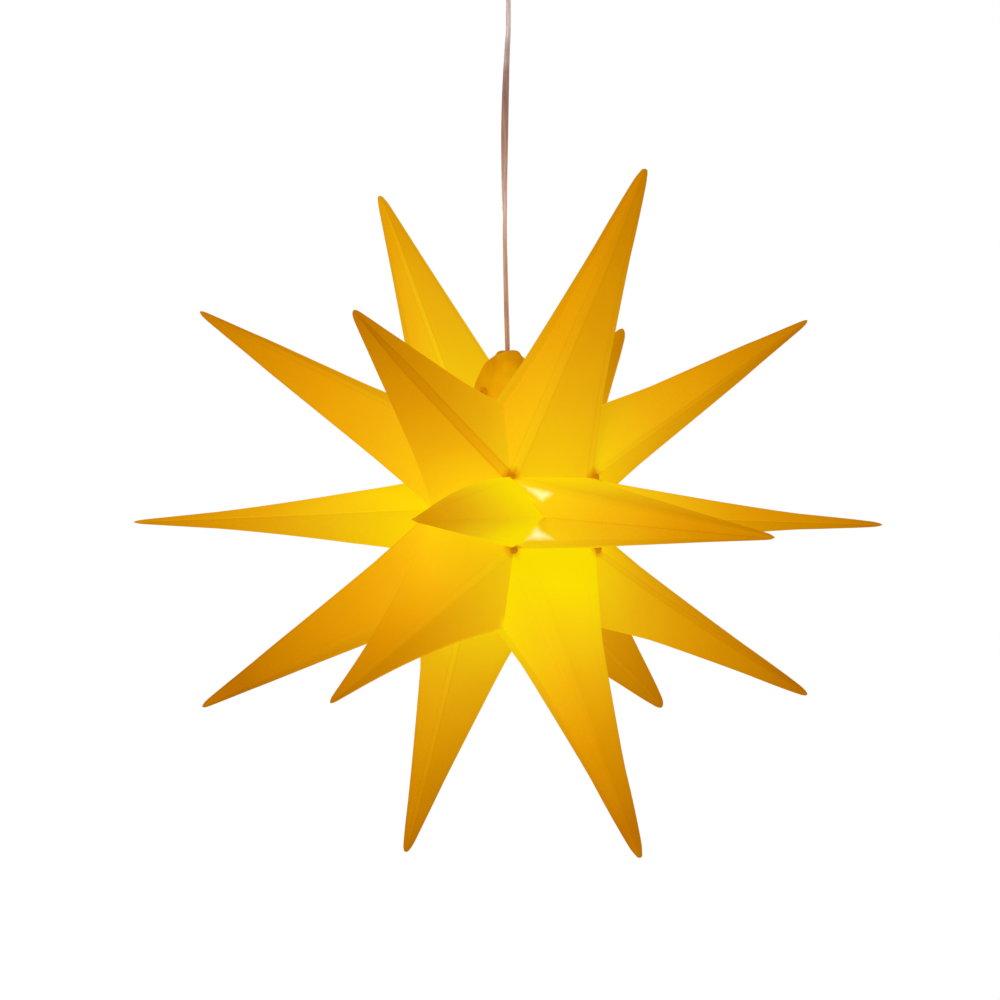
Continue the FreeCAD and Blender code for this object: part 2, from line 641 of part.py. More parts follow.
def rivet_along(place):
    """Rivet whose head lies in the crotch of the ridges that meet at a corner, and its tail behind them."""
    outward = FreeCAD.Vector(place).normalize()
    head = place + outward * size("rivet_seat")
    tail = place - outward * size("rivet_seat")
    stem = Part.makeCylinder(size("rivet_stem_radius"), 2 * size("rivet_seat"), tail, outward)
    return stem.fuse([Part.makeSphere(size("rivet_head_radius"), head),
                      Part.makeSphere(size("rivet_tail_radius"), tail)]).removeSplitter()


def placed(label, shape):
    """Sub-part modelled round the star's middle, then hung at its drop below the ceiling."""
    item = doc.addObject("Part::Feature", label)
    item.Shape = shape
    item.Placement = FreeCAD.Placement(FreeCAD.Vector(0, 0, -size("star_drop")), FreeCAD.Rotation())
    return keep(item, label)


even_folds = [LEAF_STEP_ANGLE * (step + 1 / 2) for step in range(int(FULL_ANGLE / LEAF_STEP_ANGLE))]
corner_places = [star_point(side * size("corner_angle"), fold_longitude(even), size("corner_radius"))
                 for even in even_folds for side in (1, -1) if even != CLOSING_ANGLE]
pole_places = [star_point(side * POLE_ANGLE, 0.0, size("pole_radius")) for side in (1, -1)]
rivet_holes = Part.makeCompound([hole_along(place) for place in corner_places + pole_places])
channel_hole = Part.makeCylinder(size("holder_radius") + size("tab_film") + 2 * size("tab_clearance"),
                                 size("tab_height"), FreeCAD.Vector(0, 0, size("holder_bottom")))
for label, (step, *leans) in LEAF_ANGLES.items():
    leaf = leaf_shape(LEAF_STEP_ANGLE * step, leans).cut(rivet_holes).cut(channel_hole)
    placed(label, leaf)
placed("corner_rivets", Part.makeCompound([rivet_along(place) for place in corner_places]))
placed("spine_rivets", Part.makeCompound([rivet_along(place) for place in pole_places]))

doc.recompute()
for item in doc.Objects:
    if "Invalid" in item.State or "Error" in item.State:
        raise RuntimeError(f"{item.Label} did not build: {item.State}")
for item in finished:
    if item.Shape.isNull() or not item.Shape.isValid() or not item.Shape.Solids:
        raise RuntimeError(f"{item.Label} has no valid solid")

os.makedirs("parts", exist_ok=True)
for item in finished:
    item.Shape.exportStep(os.path.join("parts", item.Label + ".step"))
    box_of = item.Shape.BoundBox
    print(f"{item.Label}: {len(item.Shape.Solids)} solids, {item.Shape.Volume:.1f} mm3, "
          f"z {box_of.ZMin:.2f} to {box_of.ZMax:.2f}")
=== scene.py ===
import math

import bpy
from mathutils import Matrix, Quaternion, Vector
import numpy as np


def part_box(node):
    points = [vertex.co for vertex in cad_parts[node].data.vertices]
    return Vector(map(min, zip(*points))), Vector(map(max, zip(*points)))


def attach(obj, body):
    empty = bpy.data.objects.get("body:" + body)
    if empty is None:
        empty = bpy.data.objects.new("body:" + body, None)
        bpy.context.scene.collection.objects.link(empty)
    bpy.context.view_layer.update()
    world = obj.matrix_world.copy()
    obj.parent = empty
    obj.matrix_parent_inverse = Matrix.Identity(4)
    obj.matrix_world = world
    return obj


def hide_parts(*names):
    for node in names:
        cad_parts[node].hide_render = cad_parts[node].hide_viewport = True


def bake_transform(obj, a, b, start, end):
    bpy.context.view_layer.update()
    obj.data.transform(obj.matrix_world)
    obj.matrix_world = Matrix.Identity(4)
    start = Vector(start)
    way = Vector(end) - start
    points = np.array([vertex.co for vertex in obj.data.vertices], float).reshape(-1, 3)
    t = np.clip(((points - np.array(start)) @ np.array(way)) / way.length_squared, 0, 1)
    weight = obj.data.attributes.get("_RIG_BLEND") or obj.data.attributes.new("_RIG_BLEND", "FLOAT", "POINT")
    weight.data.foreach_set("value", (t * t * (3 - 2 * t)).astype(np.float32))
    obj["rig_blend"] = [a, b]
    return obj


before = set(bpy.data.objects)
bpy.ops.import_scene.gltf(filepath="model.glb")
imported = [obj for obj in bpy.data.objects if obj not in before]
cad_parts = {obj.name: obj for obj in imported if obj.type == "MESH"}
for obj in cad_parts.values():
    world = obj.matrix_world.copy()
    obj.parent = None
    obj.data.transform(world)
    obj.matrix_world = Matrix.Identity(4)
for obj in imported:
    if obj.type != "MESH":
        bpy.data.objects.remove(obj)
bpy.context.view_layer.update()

# Camera: it looks level at the middle of the star, from the left of its front, through a long lens. The
# shift puts the star where the photograph has it, a little below the middle.
STAR_MIDDLE = Vector((0.0, 0.0, -0.445))
CAMERA_TURN = math.radians(-40.9)
CAMERA_DISTANCE = 3.96
camera_data = bpy.data.cameras.new("camera")
camera_data.lens = 192.4
camera_data.sensor_width = 36.0
camera_data.shift_x = -0.0084
camera_data.shift_y = 0.0166
camera = bpy.data.objects.new("camera", camera_data)
camera.location = STAR_MIDDLE + Vector((math.sin(CAMERA_TURN), -math.cos(CAMERA_TURN), 0.0)) * CAMERA_DISTANCE
camera.rotation_euler = (math.pi / 2, 0.0, CAMERA_TURN)
bpy.context.scene.collection.objects.link(camera)
bpy.context.scene.camera = camera
bpy.context.scene.view_settings.view_transform = "Standard"

# Floor, room and lamps: a plain pale disc under the hanging star that lets the view through from below, a
# white room, a soft lamp from the upper left and weaker ones from the right and from behind.
FLOOR_LEVEL = -1.25
FLOOR_RADIUS = 3.6
FLOOR_GLOW = 0.62
ROOM_LIGHT = 0.42
LAMP_WIDTH = 2.2
WHITE = (1.0, 1.0, 1.0, 1.0)


class Wire:
    """A socket in a node tree. A sum on it adds Math nodes, and step() adds any other node."""

    def __init__(self, tree, socket=None):
        self.tree = tree
        self.socket = socket

    def step(self, kind, settings, values, output=0):
        node = self.tree.nodes.new("ShaderNode" + kind)
        for name, value in settings.items():
            if name == "stops":
                while len(node.color_ramp.elements) < len(value):
                    node.color_ramp.elements.new(1.0)
                for element, (place, colour) in zip(node.color_ramp.elements, value):
                    element.position = place
                    element.color = (*colour, 1.0)
            else:
                setattr(node, name, value)
        for place, value in values.items():
            if isinstance(value, Wire):
                self.tree.links.new(value.socket, node.inputs[place])
            else:
                node.inputs[place].default_value = value
        return Wire(self.tree, node.outputs[output])

    def maths(self, operation, first, second):
        return self.step("Math", {"operation": operation}, {0: first, 1: second})

    def mixed(self, blend, share, first, second):
        """Mix of two colours. Only numbers tell its colour sockets from the others of the same name."""
        return self.step("Mix", {"data_type": "RGBA", "blend_type": blend}, {0: share, 6: first, 7: second},
                         output=2)

    def __add__(self, other):
        return self.maths("ADD", self, other)

    def __radd__(self, other):
        return self.maths("ADD", other, self)

    def __sub__(self, other):
        return self.maths("SUBTRACT", self, other)

    def __rsub__(self, other):
        return self.maths("SUBTRACT", other, self)

    def __mul__(self, other):
        return self.maths("MULTIPLY", self, other)

    def __rmul__(self, other):
        return self.maths("MULTIPLY", other, self)

    def __truediv__(self, other):
        return self.maths("DIVIDE", self, other)


def new_paint(name, **settings):
    """Material, its shader, and a wire to start from. A setting goes on the shader's own socket."""
    material = bpy.data.materials.new(name)
    material.use_nodes = True
    shader = material.node_tree.nodes["Principled BSDF"]
    for socket, value in settings.items():
        shader.inputs[socket.replace("_", " ")].default_value = value
    return material, shader, Wire(material.node_tree)


def feed(wire, node, socket):
    """Joins a wire to one of a node's sockets."""
    wire.tree.links.new(wire.socket, node.inputs[socket])


bpy.ops.object.select_all(action="DESELECT")
bpy.ops.mesh.primitive_circle_add(vertices=96, radius=FLOOR_RADIUS, fill_type="NGON",
                                  location=(0.0, 0.0, FLOOR_LEVEL))
floor = bpy.context.object
floor.name = "floor"
floor_paint, floor_shader, wire = new_paint("pale_floor", Base_Color=(0.86, 0.86, 0.85, 1.0), Roughness=0.8)
seen = wire.step("LightPath", {}, {}, output="Is Camera Ray")
white = wire.step("Emission", {}, {"Color": WHITE, "Strength": 1.0})
plain = Wire(wire.tree, floor_shader.outputs[0])
upper_side = wire.step("MixShader", {}, {0: seen * FLOOR_GLOW, 1: plain, 2: white})
underside = wire.step("NewGeometry", {}, {}, output="Backfacing")
clear = wire.step("BsdfTransparent", {}, {})
feed(wire.step("MixShader", {}, {0: underside, 1: upper_side, 2: clear}),
     wire.tree.nodes["Material Output"], "Surface")
floor.data.materials.append(floor_paint)

world = bpy.data.worlds.new("room")
bpy.context.scene.world = world
world.use_nodes = True
wire = Wire(world.node_tree)
background = world.node_tree.nodes["Background"]
background.inputs["Color"].default_value = WHITE
camera_ray = wire.step("LightPath", {}, {}, output="Is Camera Ray")
glossy_ray = wire.step("LightPath", {}, {}, output="Is Glossy Ray")
clear_ray = wire.step("LightPath", {}, {}, output="Is Transmission Ray")
direct = wire.maths("MINIMUM", camera_ray + glossy_ray + clear_ray, 1.0)
feed(ROOM_LIGHT + (1.0 - ROOM_LIGHT) * direct, background, "Strength")


def lamp_at(name, place, power):
    """Square soft lamp that faces the middle of the star."""
    data = bpy.data.lights.new(name, "AREA")
    data.energy = power
    data.size = LAMP_WIDTH
    lamp = bpy.data.objects.new(name, data)
    lamp.location = place
    lamp.rotation_euler = (STAR_MIDDLE - Vector(place)).to_track_quat("-Z", "Y").to_euler()
    bpy.context.scene.collection.objects.link(lamp)


lamp_at("upper_left_lamp", (-3.4, -2.0, 1.4), 88.0)
lamp_at("right_lamp", (1.6, -3.6, 0.2), 10.0)
lamp_at("back_lamp", (2.0, 3.4, 1.0), 30.0)

# Cord: two fine copper cores side by side in one clear sheath, which has twisted a little with the lamp's
# weight. It runs from the terminal block down through the ceiling cup, bends a little way under the cup,
# where the star swings, and goes on into the grip on the lampholder.
CORD_WIDTH = 0.0054
CORD_THICKNESS = 0.0032
CORD_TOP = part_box("lead_cord")[1].z
CORD_MIDDLE = (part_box("bend_cord")[0].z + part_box("bend_cord")[1].z) / 2
CORD_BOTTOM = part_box("hanging_cord")[0].z
UPPER_PIVOT = -0.0774
LOWER_PIVOT = -0.09025
HALF_BEND = 0.0012
CORD_STRAY = 0.003
STRAY_WAY = (-0.756, 0.655)
ROUTE_STEPS = 12
ROUND_POINTS = 9
ROUND_REACH = 76.0
# How far the flat cord has turned about its own line, in degrees, at levels from the cup's collar down.
CORD_TURNS = ((-0.0461, 38.3), (-0.085, 36.0), (-0.112, 10.0), (-0.137, -21.0), (-0.192, -96.0),
              (-0.233, -131.0), (-0.296, -144.0), (CORD_BOTTOM, -141.0))
COPPER_LEVEL = -0.33
COPPER_SPAN = 0.27
COPPER_TONES = ((0.10, (0.52, 0.25, 0.10)), (0.30, (0.60, 0.32, 0.18)), (0.44, (0.72, 0.47, 0.36)),
                (0.56, (0.44, 0.20, 0.11)), (0.72, (0.27, 0.105, 0.055)), (0.80, (0.33, 0.155, 0.095)),
                (0.87, (0.68, 0.53, 0.47)))
FIBRE_TONES = ((0.30, (0.55, 0.45, 0.40)), (0.60, (1.0, 1.0, 1.0)))


def cord_route(top, bottom, stray):
    """Control points down the cord from one level to another, drifting aside and back on the way."""
    route = []
    for step in range(ROUTE_STEPS + 1):
        aside = stray * math.sin(math.pi * (step / ROUTE_STEPS) ** 0.8)
        route.append((STRAY_WAY[0] * aside, STRAY_WAY[1] * aside, top + (bottom - top) * step / ROUTE_STEPS))
    return route


def cord_line(route):
    """Places along the smooth line that has the route's points as its control points."""
    curve = bpy.data.curves.new("cord_route", "CURVE")
    curve.dimensions = "3D"
    spline = curve.splines.new("NURBS")
    spline.points.add(len(route) - 1)
    for point, place in zip(spline.points, route):
        point.co = (*place, 1.0)
    spline.order_u = 3
    spline.use_endpoint_u = True
    spline.resolution_u = 12
    guide = bpy.data.objects.new("cord_route", curve)
    bpy.context.scene.collection.objects.link(guide)
    bpy.context.view_layer.update()
    mesh = bpy.data.meshes.new_from_object(guide)
    line = [vertex.co.copy() for vertex in mesh.vertices]
    bpy.data.objects.remove(guide)
    return line


def cord_turn(level):
    """How far the flat cord has turned about its own line at a level."""
    turn = CORD_TURNS[0][1]
    for (high, first), (low, last) in zip(CORD_TURNS, CORD_TURNS[1:]):
        turn += (last - first) * min(1.0, max(0.0, (high - level) / (high - low)))
    return math.radians(turn)


def twin_cord(name, line):
    """Flat twin cord drawn along its line: a ring of the section is extruded and turned place by place."""
    core = CORD_THICKNESS / 2
    apart = (CORD_WIDTH - CORD_THICKNESS) / 2
    outline = []
    for side in (1, -1):
        for place in range(ROUND_POINTS):
            angle = math.radians(-ROUND_REACH + 2 * ROUND_REACH * place / (ROUND_POINTS - 1))
            outline.append((side * (apart + core * math.cos(angle)), side * core * math.sin(angle)))
    turn = cord_turn(line[0].z)
    bpy.ops.object.select_all(action="DESELECT")
    bpy.ops.mesh.primitive_circle_add(vertices=len(outline), radius=core, location=line[0])
    cord = bpy.context.object
    cord.name = name
    bpy.ops.object.transform_apply(location=True)
    for vertex, (across, deep) in zip(cord.data.vertices, outline):
        vertex.co.x = across * math.cos(turn) - deep * math.sin(turn)
        vertex.co.y = across * math.sin(turn) + deep * math.cos(turn)
    bpy.ops.object.mode_set(mode="EDIT")
    bpy.ops.mesh.select_all(action="SELECT")
    bpy.ops.mesh.edge_face_add()
    for place, following in zip(line, line[1:]):
        bpy.ops.mesh.extrude_region_move(TRANSFORM_OT_translate={"value": following - place})
        bpy.ops.transform.rotate(value=cord_turn(place.z) - cord_turn(following.z), orient_axis="Z",
                                 center_override=tuple(following))
    bpy.ops.mesh.select_all(action="SELECT")
    bpy.ops.mesh.normals_make_consistent(inside=False)
    bpy.ops.object.mode_set(mode="OBJECT")
    bpy.ops.object.shade_smooth_by_angle(angle=math.radians(40.0))
    return cord


cord_paint, cord_shader, wire = new_paint("clear_copper_cord", Coat_Weight=0.6, Coat_Roughness=0.1)
place = wire.step("TexCoord", {}, {}, output="Object")
lengthwise = wire.step("Mapping", {}, {"Vector": place, "Scale": (900.0, 900.0, 60.0)})
strand = wire.step("TexNoise", {}, {"Vector": lengthwise, "Scale": 1.0, "Detail": 3.0})
patch = wire.step("TexNoise", {}, {"Vector": place, "Scale": 26.0, "Detail": 2.0})
# The cord's colour is set by height, in paler and darker bands down its length.
level = wire.step("SeparateXYZ", {}, {"Vector": place}, output="Z")
rise = (level - COPPER_LEVEL + (patch - 0.5) * 0.06) / COPPER_SPAN
along = wire.step("ValToRGB", {"stops": COPPER_TONES}, {"Fac": rise})
fibre = wire.step("ValToRGB", {"stops": FIBRE_TONES}, {"Fac": strand})
feed(wire.mixed("MULTIPLY", 0.7, along, fibre), cord_shader, "Base Color")
feed(0.25 + 0.2 * strand, cord_shader, "Roughness")
feed(wire.step("Bump", {}, {"Strength": 0.25, "Distance": 0.0002, "Height": strand}), cord_shader, "Normal")
for name, upper_body, lower_body, pivot, solids, (top, bottom), stray in (
        ("ceiling_flex", "ceiling", "cord_bend", UPPER_PIVOT, ("lead_cord", "bend_cord"),
         (CORD_TOP, CORD_MIDDLE), 0.0),
        ("hanging_flex", "cord_bend", "cord", LOWER_PIVOT, ("hanging_cord",),
         (CORD_MIDDLE, CORD_BOTTOM), CORD_STRAY)):
    flex_line = cord_line(cord_route(top, bottom, stray))
    flex = twin_cord(name, flex_line)
    flex.data.materials.append(cord_paint)
    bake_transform(flex, upper_body, lower_body, start=(0.0, 0.0, pivot + HALF_BEND),
             end=(0.0, 0.0, pivot - HALF_BEND))
    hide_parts(*solids)

# Ceiling plate and cord bracket: pressed steel with a dull zinc plating. The plate is screwed flat to the
# ceiling through its slots, and the folded bracket under it carries the terminal block and the cord's stop.
ZINC = (0.62, 0.64, 0.66)
DULL_ZINC = (0.36, 0.37, 0.39)
ZINC_GRAIN = (3000.0, 260.0, 260.0)


def dress(paint, *names):
    """Gives CAD nodes whose shape is right their finish."""
    for name in names:
        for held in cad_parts[name].material_slots:
            held.material = paint


def plated(name, colour, dull, grain):
    """Metal with cloudy plating, duller patches and fine scratches drawn along it."""
    paint, shader, wire = new_paint(name, Metallic=1.0)
    place = wire.step("TexCoord", {}, {}, output="Object")
    cloud = wire.step("TexNoise", {}, {"Vector": place, "Scale": 170.0, "Detail": 4.0})
    stretched = wire.step("Mapping", {}, {"Vector": place, "Scale": grain})
    drawn = wire.step("TexNoise", {}, {"Vector": stretched, "Scale": 1.0, "Detail": 3.0})
    feed(wire.step("ValToRGB", {"stops": ((0.32, dull), (0.62, colour))}, {"Fac": cloud * 0.7 + drawn * 0.3}),
         shader, "Base Color")
    feed(0.20 + 0.20 * cloud + 0.14 * drawn, shader, "Roughness")
    feed(wire.step("Bump", {}, {"Strength": 0.25, "Distance": 0.0001, "Height": drawn}), shader, "Normal")
    return paint


zinc_paint = plated("dull_zinc", ZINC, DULL_ZINC, ZINC_GRAIN)
dress(zinc_paint, "ceiling_plate", "cord_bracket")

# Terminal block: a milky bar of soft clear plastic with a brass sleeve for each core. Small slotted brass
# screws go in from the front and clamp the cores in the sleeves.
CORE_PLACE = 0.0036
CLAMP_LEVELS = (-0.013, -0.007)
CLAMP_TURNS = {-1: (12.0, 64.0), 1: (98.0, 35.0)}
CLAMP_RADIUS = 0.0011
CLAMP_LENGTH = 0.003
CLAMP_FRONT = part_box("terminal_screws")[0].y
FORWARD = Vector((0.0, 1.0, 0.0))
# A screw's chamfer, and the length, width and depth of its slot's cutter, as shares of its radius.
CHAMFER_SHARE = 0.16
SLOT_SHARES = (2.6, 0.34, 0.9)
block_paint, block_shader, wire = new_paint("milky_block", Transmission_Weight=0.35, IOR=1.46)
place = wire.step("TexCoord", {}, {}, output="Object")
haze = wire.step("TexNoise", {}, {"Vector": place, "Scale": 220.0, "Detail": 3.0})
feed(wire.step("ValToRGB", {"stops": ((0.3, (0.70, 0.71, 0.69)), (0.7, (0.86, 0.87, 0.85)))}, {"Fac": haze}),
     block_shader, "Base Color")
feed(0.25 + 0.25 * haze, block_shader, "Roughness")
feed(wire.step("Bump", {}, {"Strength": 0.2, "Distance": 0.0001, "Height": haze}), block_shader, "Normal")
dress(block_paint, "terminal_block")
brass_paint = plated("bright_brass", (0.78, 0.58, 0.27), (0.50, 0.34, 0.14), (260.0, 260.0, 2600.0))
dress(brass_paint, "terminal_sleeves")


def slotted_screw(head, inward, radius, length, turn):
    """Screw with a chamfered and slotted head, from the middle of its head inwards."""
    facing = inward.to_track_quat("Z", "Y")
    bpy.ops.object.select_all(action="DESELECT")
    bpy.ops.mesh.primitive_cylinder_add(vertices=28, radius=radius, depth=length,
                                        location=head + inward * (length / 2), rotation=facing.to_euler())
    screw = bpy.context.object
    bpy.ops.object.transform_apply(location=True, rotation=True)
    bevel = screw.modifiers.new("chamfer", "BEVEL")
    bevel.width = CHAMFER_SHARE * radius
    bevel.segments = 2
    bevel.limit_method = "ANGLE"
    bpy.ops.object.modifier_apply(modifier=bevel.name)
    bpy.ops.object.select_all(action="DESELECT")
    bpy.ops.mesh.primitive_cube_add(size=1.0)
    cutter = bpy.context.object
    turned = facing @ Quaternion((0.0, 0.0, 1.0), math.radians(turn))
    size = Vector([radius * share for share in SLOT_SHARES])
    cutter.data.transform(Matrix.LocRotScale(head, turned, size))
    slot = screw.modifiers.new("slot", "BOOLEAN")
    slot.operation = "DIFFERENCE"
    slot.object = cutter
    bpy.context.view_layer.objects.active = screw
    bpy.ops.object.modifier_apply(modifier=slot.name)
    bpy.data.objects.remove(cutter)
    return screw


def join_pieces(name, pieces):
    """Joins pieces into the first of them, which takes the name."""
    bpy.ops.object.select_all(action="DESELECT")
    for piece in pieces:
        piece.select_set(True)
    bpy.context.view_layer.objects.active = pieces[0]
    if len(pieces) > 1:
        bpy.ops.object.join()
    pieces[0].name = name
    return pieces[0]


def screw_set(name, screws, paint, body, node):
    """Joins like screws, finishes them and gives them the node's place."""
    screws = join_pieces(name, screws)
    bpy.ops.object.shade_smooth_by_angle(angle=math.radians(35.0))
    screws.data.materials.append(paint)
    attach(screws, body)
    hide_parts(node)


clamps = []
for side, turns in CLAMP_TURNS.items():
    for level, turn in zip(CLAMP_LEVELS, turns):
        head = Vector((side * CORE_PLACE, CLAMP_FRONT, level))
        clamps.append(slotted_screw(head, FORWARD, CLAMP_RADIUS, CLAMP_LENGTH, turn))
screw_set("clamp_screws", clamps, brass_paint, "ceiling", "terminal_screws")

# Cord stop and ceiling cup: moulded in white plastic. The stop is clamped on the cord under the bracket, so
# no pull reaches the terminals. The cup hides it all, and a screw through its collar holds it on the cord.
STOP_SCREW_RADIUS = 0.0011
STOP_SCREW_LENGTH = 0.0048
CUP_SCREW_RADIUS = 0.0014
CUP_SCREW_LENGTH = 0.0073


def moulded(name, colour, shadow, grain=900.0, roughness=0.34, **settings):
    """Moulded plastic: a fine grain from the tool, and a slow drift in colour and sheen."""
    paint, shader, wire = new_paint(name, Coat_Roughness=0.25, **settings)
    place = wire.step("TexCoord", {}, {}, output="Object")
    spark = wire.step("TexNoise", {}, {"Vector": place, "Scale": grain, "Detail": 3.0})
    drift = wire.step("TexNoise", {}, {"Vector": place, "Scale": 38.0, "Detail": 2.0})
    feed(wire.step("ValToRGB", {"stops": ((0.34, shadow), (0.62, colour))},
                   {"Fac": drift * 0.8 + spark * 0.2}), shader, "Base Color")
    feed(roughness + 0.16 * (drift - 0.5) + 0.10 * spark, shader, "Roughness")
    feed(wire.step("Bump", {}, {"Strength": 0.22, "Distance": 0.00012, "Height": spark + drift * 0.6}),
         shader, "Normal")
    return paint


def front_middle(node):
    """Middle of the front of a node's box."""
    low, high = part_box(node)
    return Vector((0.0, low.y, (low.z + high.z) / 2))


white_paint = moulded("white_moulding", (0.80, 0.80, 0.78), (0.73, 0.725, 0.70), Coat_Weight=0.15)
dress(white_paint, "cord_stop", "ceiling_cup")
stop_screw = slotted_screw(front_middle("stop_screw"), FORWARD, STOP_SCREW_RADIUS, STOP_SCREW_LENGTH, 28.0)
screw_set("cord_stop_screw", [stop_screw], zinc_paint, "ceiling", "stop_screw")
cup_screw = slotted_screw(front_middle("cup_screw"), FORWARD, CUP_SCREW_RADIUS, CUP_SCREW_LENGTH, 72.0)
screw_set("cup_collar_screw", [cup_screw], zinc_paint, "cup", "cup_screw")

# Lampholder: skirt, cap, cord grip and shade ring are moulded in white plastic and screw together. Inside, a
# cream insert carries a sprung centre contact and a brass liner, and two brass screws clamp the cores to it.
CORE_SCREW_RADIUS = 0.0015
CORE_SCREW_LENGTH = 0.007
CORE_SCREW_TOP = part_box("holder_screws")[1].z
DOWN = Vector((0.0, 0.0, -1.0))
holder_paint = moulded("holder_moulding", (0.82, 0.82, 0.80), (0.75, 0.745, 0.72),
                       grain=1300.0, roughness=0.30)
dress(holder_paint, "holder_skirt", "holder_cap", "cord_grip", "shade_ring")
insert_paint = moulded("cream_insert", (0.76, 0.70, 0.55), (0.66, 0.59, 0.44), grain=1600.0, roughness=0.42)
dress(insert_paint, "contact_insert")
dress(brass_paint, "side_contact", "centre_contact")
core_screws = []
for across, turn in ((-0.007, 20.0), (0.007, 115.0)):
    head = Vector((across, 0.0, CORE_SCREW_TOP))
    core_screws.append(slotted_screw(head, DOWN, CORE_SCREW_RADIUS, CORE_SCREW_LENGTH, turn))
screw_set("core_screws", core_screws, brass_paint, "lamp", "holder_screws")

# Lamp's cap: a thin nickel-plated shell with a thread rolled into it, black glass that keeps it apart from
# the centre, and a soldered button in the middle of the glass.
SHELL_LOW, SHELL_HIGH = (corner.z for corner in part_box("lamp_shell"))
SHELL_ROWS = 56
SHELL_ROW = (SHELL_HIGH - SHELL_LOW) / SHELL_ROWS
SHELL_WALL = 0.0004
THREAD_RADIUS = 0.00655
THREAD_DEPTH = 0.0004
THREAD_PITCH = 0.002822
THREAD_FOOT = 0.0024
THREAD_HEAD = 0.0016
LIP_DEPTH = 0.0006
LIP_HEIGHT = 0.0009
bpy.ops.object.select_all(action="DESELECT")
bpy.ops.mesh.primitive_circle_add(vertices=48, radius=THREAD_RADIUS, location=(0.0, 0.0, SHELL_LOW))
shell = bpy.context.object
shell.name = "threaded_shell"
bpy.ops.object.transform_apply(location=True)
bpy.ops.object.mode_set(mode="EDIT")
bpy.ops.mesh.select_all(action="SELECT")
for row in range(SHELL_ROWS):
    bpy.ops.mesh.extrude_region_move(TRANSFORM_OT_translate={"value": (0, 0, SHELL_ROW)})
bpy.ops.mesh.select_all(action="SELECT")
bpy.ops.mesh.normals_make_consistent(inside=False)
bpy.ops.object.mode_set(mode="OBJECT")
for vertex in shell.data.vertices:
    around = math.atan2(vertex.co.y, vertex.co.x)
    above = vertex.co.z - SHELL_LOW
    below = SHELL_HIGH - vertex.co.z
    ends = min(1.0, above / THREAD_FOOT, below / THREAD_HEAD)
    wave = math.cos(2 * math.pi * above / THREAD_PITCH - around)
    lip = LIP_DEPTH * max(0.0, 1.0 - below / LIP_HEIGHT)
    reach = THREAD_RADIUS + THREAD_DEPTH * (1.0 - ends + ends * wave) - lip
    vertex.co.x = reach * math.cos(around)
    vertex.co.y = reach * math.sin(around)
wall = shell.modifiers.new("wall", "SOLIDIFY")
wall.thickness = SHELL_WALL
wall.offset = -1.0
bpy.ops.object.modifier_apply(modifier=wall.name)
bpy.ops.object.shade_smooth_by_angle(angle=math.radians(50.0))
nickel_paint = plated("rolled_nickel", (0.70, 0.68, 0.64), (0.44, 0.42, 0.39), (240.0, 240.0, 2400.0))
shell.data.materials.append(nickel_paint)
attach(shell, "bulb_cap")
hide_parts("lamp_shell")
glass_paint, glass_shader, wire = new_paint("black_cap_glass", Coat_Weight=0.5)
place = wire.step("TexCoord", {}, {}, output="Object")
pits = wire.step("TexVoronoi", {}, {"Vector": place, "Scale": 900.0})
feed(wire.step("ValToRGB", {"stops": ((0.1, (0.035, 0.030, 0.035)), (0.6, (0.010, 0.010, 0.012)))},
               {"Fac": pits}), glass_shader, "Base Color")
feed(0.10 + 0.25 * pits, glass_shader, "Roughness")
dress(glass_paint, "lamp_insulator")
solder_paint = plated("solder_button", (0.66, 0.65, 0.62), (0.42, 0.41, 0.38), (900.0, 900.0, 900.0))
dress(solder_paint, "lamp_button")

# Lamp: a white plastic body, a round board with six small yellow chips on it, and a frosted plastic globe
# over them that glows warm white.
GLOBE_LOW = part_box("lamp_globe")[0].z
GLOBE_HEIGHT = 0.038
GLOBE_TONES = ((0.0, (0.62, 0.50, 0.30)), (0.45, (0.66, 0.55, 0.36)), (1.0, (0.42, 0.31, 0.16)))
body_paint = moulded("lamp_moulding", (0.84, 0.84, 0.83), (0.78, 0.775, 0.76), grain=1100.0, roughness=0.38)
dress(body_paint, "lamp_body")
board_paint, board_shader, wire = new_paint("white_board", Specular_IOR_Level=0.4)
place = wire.step("TexCoord", {}, {}, output="Object")
weave = wire.step("TexNoise", {}, {"Vector": place, "Scale": 1400.0, "Detail": 2.0})
ring = wire.step("TexWave", {"wave_type": "RINGS", "rings_direction": "Z"}, {"Vector": place, "Scale": 45.0})
feed(wire.step("ValToRGB", {"stops": ((0.3, (0.70, 0.71, 0.70)), (0.6, (0.83, 0.84, 0.82)))},
               {"Fac": weave * 0.7 + ring * 0.3}), board_shader, "Base Color")
feed(0.35 + 0.2 * weave, board_shader, "Roughness")
dress(board_paint, "lamp_board")
chip_paint, chip_shader, wire = new_paint("yellow_chip", Emission_Strength=1.0)
place = wire.step("TexCoord", {}, {}, output="Object")
grain = wire.step("TexNoise", {}, {"Vector": place, "Scale": 2400.0, "Detail": 3.0})
gel = wire.step("ValToRGB", {"stops": ((0.3, (0.62, 0.40, 0.03)), (0.7, (0.86, 0.62, 0.08)))}, {"Fac": grain})
feed(gel, chip_shader, "Base Color")
feed(gel, chip_shader, "Emission Color")
feed(0.3 + 0.3 * grain, chip_shader, "Roughness")
dress(chip_paint, "lamp_chips")
globe_paint, globe_shader, wire = new_paint("frosted_globe", Emission_Strength=1.0, Roughness=0.5)
place = wire.step("TexCoord", {}, {}, output="Object")
frost = wire.step("TexNoise", {}, {"Vector": place, "Scale": 1500.0, "Detail": 2.0})
level = wire.step("SeparateXYZ", {}, {"Vector": place}, output="Z")
feed(wire.step("ValToRGB", {"stops": GLOBE_TONES},
               {"Fac": (level - GLOBE_LOW) / GLOBE_HEIGHT + frost * 0.06}), globe_shader, "Emission Color")
